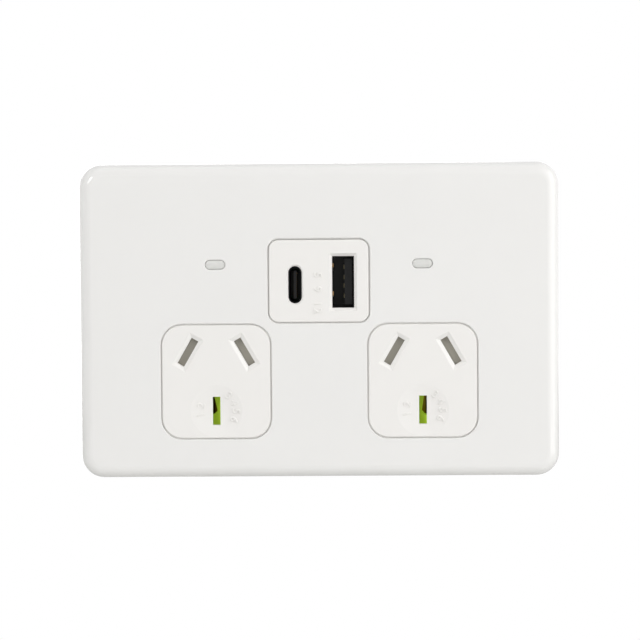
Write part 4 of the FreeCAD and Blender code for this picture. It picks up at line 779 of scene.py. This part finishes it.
class SOCKET_OT_circuit_boards(Operator):
    """Boards, relays, transformer, capacitors and connector"""

    bl_idname = "wall_socket.circuit_boards"
    bl_label = "Circuit boards"

    weave_pitch: length("Weave pitch", "Thread spacing of the boards' glass cloth", 1.2)

    def execute(self, context):
        colours = context.scene.socket_boards
        # Solder mask over glass cloth: green gloss with the weave showing through
        mask, tree, shader, place = surface("green_solder_mask", {"Roughness": 0.3})
        tone(tree, shader, place, colours.mask, amount=0.12, patch_mm=4.0)
        weave = add_node(tree, "ShaderNodeTexWave", values={"Scale": 1 / self.weave_pitch, "Distortion": 0.4},
                         links={"Vector": place})
        relief(tree, shader, weave.outputs["Fac"], depth_mm=0.004)
        finish(["control_board", "power_board"], mask)
        # Glass-filled polyester: a plain black with a soft sheen
        case = moulded("black_polyester_case", colours.case, roughness=0.42, grain_mm=0.3, depth_mm=0.003)
        finish(both("relay") + ["board_connector"], case)
        # Ground ferrite is dark, dry and speckled
        ferrite = moulded("ground_ferrite", colours.ferrite, roughness=0.6, grain_mm=0.2, depth_mm=0.006,
                          amount=0.2, patch_mm=0.6)
        finish(["transformer_core"], ferrite)
        # Wound tape: amber and smooth, wavy where its turns lap
        tape = moulded("polyester_tape", colours.tape, roughness=0.3, grain_mm=4.0, depth_mm=0.01,
                       amount=0.08, patch_mm=3.0)
        finish(["transformer_winding"], tape)
        # Shrunk sleeve: dark and glossy, faintly rippled where it has drawn tight
        sleeve = moulded("shrink_sleeve", colours.sleeve, roughness=0.28, grain_mm=3.0, depth_mm=0.006,
                         amount=0.1, patch_mm=2.0)
        finish(["capacitors"], sleeve)
        return {"FINISHED"}


class SOCKET_OT_rear_box(Operator):
    """Grey box behind the plate"""

    bl_idname = "wall_socket.rear_box"
    bl_label = "Rear housing"

    def execute(self, context):
        finish(["rear_housing"], grained_grey(context.scene.socket_plastics.housing))
        return {"FINISHED"}


class SOCKET_OT_studio(Operator):
    """White floor and room, five soft lamps and the camera"""

    bl_idname = "wall_socket.studio"
    bl_label = "Studio"

    def execute(self, context):
        settings = context.scene.socket_studio
        self.room(context.scene, settings)
        self.floor(settings)
        self.lamp("key", settings.key_power, settings.key_size, settings.key_place)
        self.lamp("fill", settings.fill_power, settings.fill_size, settings.fill_place)
        # The window lamp reaches along the slots that lean its way, and nothing mirrors it
        window = self.lamp("window", settings.window_power, settings.window_size, settings.window_place)
        window.visible_glossy = False
        self.lamp("back", settings.back_power, settings.back_size, settings.back_place)
        # The small lamp only draws the sharp highlight on the upper left corner
        spark = self.lamp("spark", settings.spark_power, settings.spark_size, settings.spark_place)
        spark.visible_diffuse = False
        self.camera(context.scene, settings)
        context.scene.view_settings.view_transform = "Standard"
        return {"FINISHED"}

    def seen(self, tree):
        """Whether a ray comes from the camera or through glass, and whether from a glossy face."""
        rays = add_node(tree, "ShaderNodeLightPath")
        direct = add_node(tree, "ShaderNodeMath", {"operation": "MAXIMUM"},
                          links={0: rays.outputs["Is Camera Ray"], 1: rays.outputs["Is Transmission Ray"]})
        return direct.outputs[0], rays.outputs["Is Glossy Ray"]

    def graded(self, tree, value, low, high, at_low, at_high):
        """Strength that changes smoothly between two values."""
        return add_node(tree, "ShaderNodeMapRange", {"interpolation_type": "SMOOTHSTEP"},
                        {"From Min": low, "From Max": high, "To Min": at_low, "To Max": at_high},
                        {"Value": value}).outputs["Result"]

    def room(self, scene, settings):
        """Room whose light and mirror images differ between the camera's side and the far side."""
        world = bpy.data.worlds.new("white_room")
        scene.world = world
        world.use_nodes = True
        tree = world.node_tree
        tree.nodes.clear()
        direction = add_node(tree, "ShaderNodeTexCoord").outputs["Generated"]
        axes = add_node(tree, "ShaderNodeSeparateXYZ", links={"Vector": direction}).outputs
        sides = self.graded(tree, axes["Y"], low=-0.3, high=0.3, at_low=settings.front_light,
                            at_high=settings.rear_light)
        ceiling = self.graded(tree, axes["Z"], low=0.2, high=1.0, at_low=1.0, at_high=settings.ceiling)
        light = add_node(tree, "ShaderNodeMath", {"operation": "MULTIPLY"},
                         links={0: sides, 1: ceiling}).outputs[0]
        mirror = self.graded(tree, axes["Y"], low=-0.9, high=-0.2, at_low=settings.front_mirror, at_high=1.0)
        direct, glossy = self.seen(tree)
        unseen = add_node(tree, "ShaderNodeMix", links={0: glossy, 2: light, 3: mirror})
        strength = add_node(tree, "ShaderNodeMix", values={3: 1.0}, links={0: direct, 2: unseen.outputs[0]})
        white = add_node(tree, "ShaderNodeBackground", values={"Color": (1, 1, 1, 1)},
                         links={"Strength": strength.outputs[0]})
        add_node(tree, "ShaderNodeOutputWorld", links={"Surface": white.outputs[0]})

    def floor(self, settings):
        """Pale floor: white to the camera but for the object's shadow near its middle."""
        bm = bmesh.new()
        bmesh.ops.create_grid(bm, x_segments=1, y_segments=1, size=settings.floor_half,
                              matrix=Matrix.Translation((0, 0, -settings.floor_drop)))
        mesh = bpy.data.meshes.new("floor")
        bm.to_mesh(mesh)
        bm.free()
        # Matt painted board, too smooth to show a grain
        material = bpy.data.materials.new("white_studio_floor")
        material.use_nodes = True
        tree = material.node_tree
        tree.nodes.clear()
        place = add_node(tree, "ShaderNodeTexCoord").outputs["Object"]
        away = add_node(tree, "ShaderNodeVectorMath", {"operation": "LENGTH"}, links={0: place})
        near = add_node(tree, "ShaderNodeMapRange",
                        values={"From Min": settings.floor_drop, "From Max": settings.shadow_reach,
                                "To Min": settings.shadow_share, "To Max": 0.0},
                        links={"Value": away.outputs["Value"]})
        lit = add_node(tree, "ShaderNodeBsdfDiffuse", values={"Color": (1, 1, 1, 1)})
        glow = add_node(tree, "ShaderNodeEmission", values={"Color": (1, 1, 1, 1), "Strength": 1.0})
        shown = add_node(tree, "ShaderNodeMixShader",
                         links={0: near.outputs["Result"], 1: glow.outputs[0], 2: lit.outputs[0]})
        bounce = add_node(tree, "ShaderNodeBsdfDiffuse", values={"Color": rgba(settings.floor_grey)})
        direct = self.seen(tree)[0]
        either = add_node(tree, "ShaderNodeMixShader",
                          links={0: direct, 1: bounce.outputs[0], 2: shown.outputs[0]})
        add_node(tree, "ShaderNodeOutputMaterial", links={"Surface": either.outputs[0]})
        mesh.materials.append(material)
        floor = bpy.data.objects.new("floor", mesh)
        bpy.context.scene.collection.objects.link(floor)

    def lamp(self, name, watts, side, at):
        """Square soft lamp that faces the middle of the plate."""
        light = bpy.data.lights.new(name, "AREA")
        light.energy = watts
        light.size = side
        lamp = bpy.data.objects.new(name, light)
        lamp.location = at
        lamp.rotation_mode = "QUATERNION"
        lamp.rotation_quaternion = (-Vector(at)).to_track_quat("-Z", "Y")
        bpy.context.scene.collection.objects.link(lamp)
        return lamp

    def camera(self, scene, settings):
        """Long lens in front of the plate, a little above it and to its right."""
        turn = settings.azimuth
        tilt = settings.elevation
        back = Vector((math.sin(turn) * math.cos(tilt), -math.cos(turn) * math.cos(tilt), math.sin(tilt)))
        aim = Vector((settings.aim_x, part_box("face_cover")[0].y, settings.aim_z))
        data = bpy.data.cameras.new("camera")
        data.sensor_width = 36.0
        data.lens = settings.lens
        data.clip_start = 0.01
        camera = bpy.data.objects.new("camera", data)
        camera.location = aim + back * settings.distance
        camera.rotation_mode = "QUATERNION"
        level = (-back).to_track_quat("-Z", "Y")
        camera.rotation_quaternion = level @ Quaternion((0, 0, 1), settings.roll)
        scene.collection.objects.link(camera)
        scene.camera = camera


class SOCKET_PT_panel(Panel):
    """Steps that dress the wall socket"""

    bl_label = "Wall Socket"
    bl_space_type = "VIEW_3D"
    bl_region_type = "UI"
    bl_category = "Wall Socket"

    def draw(self, context):
        for step in STEPS:
            self.layout.operator(step.bl_idname)


STEPS = (SOCKET_OT_white_mouldings, SOCKET_OT_shutter_sets, SOCKET_OT_power_buttons, SOCKET_OT_usb_ports,
         SOCKET_OT_raised_figures, SOCKET_OT_wiring_metal, SOCKET_OT_circuit_boards, SOCKET_OT_rear_box,
         SOCKET_OT_studio)
SETTINGS = {"socket_plastics": PlasticColours, "socket_metals": MetalColours, "socket_boards": BoardColours,
            "socket_figures": FigureSettings, "socket_studio": StudioSettings}


def register():
    for item in (*SETTINGS.values(), *STEPS, SOCKET_PT_panel):
        bpy.utils.register_class(item)
    for name, group in SETTINGS.items():
        setattr(bpy.types.Scene, name, PointerProperty(type=group))


def unregister():
    for name in SETTINGS:
        delattr(bpy.types.Scene, name)
    for item in reversed((*SETTINGS.values(), *STEPS, SOCKET_PT_panel)):
        bpy.utils.unregister_class(item)


def main():
    register()
    for step in STEPS:
        area, name = step.bl_idname.split(".")
        getattr(getattr(bpy.ops, area), name)()


if __name__ == "__main__":
    main()
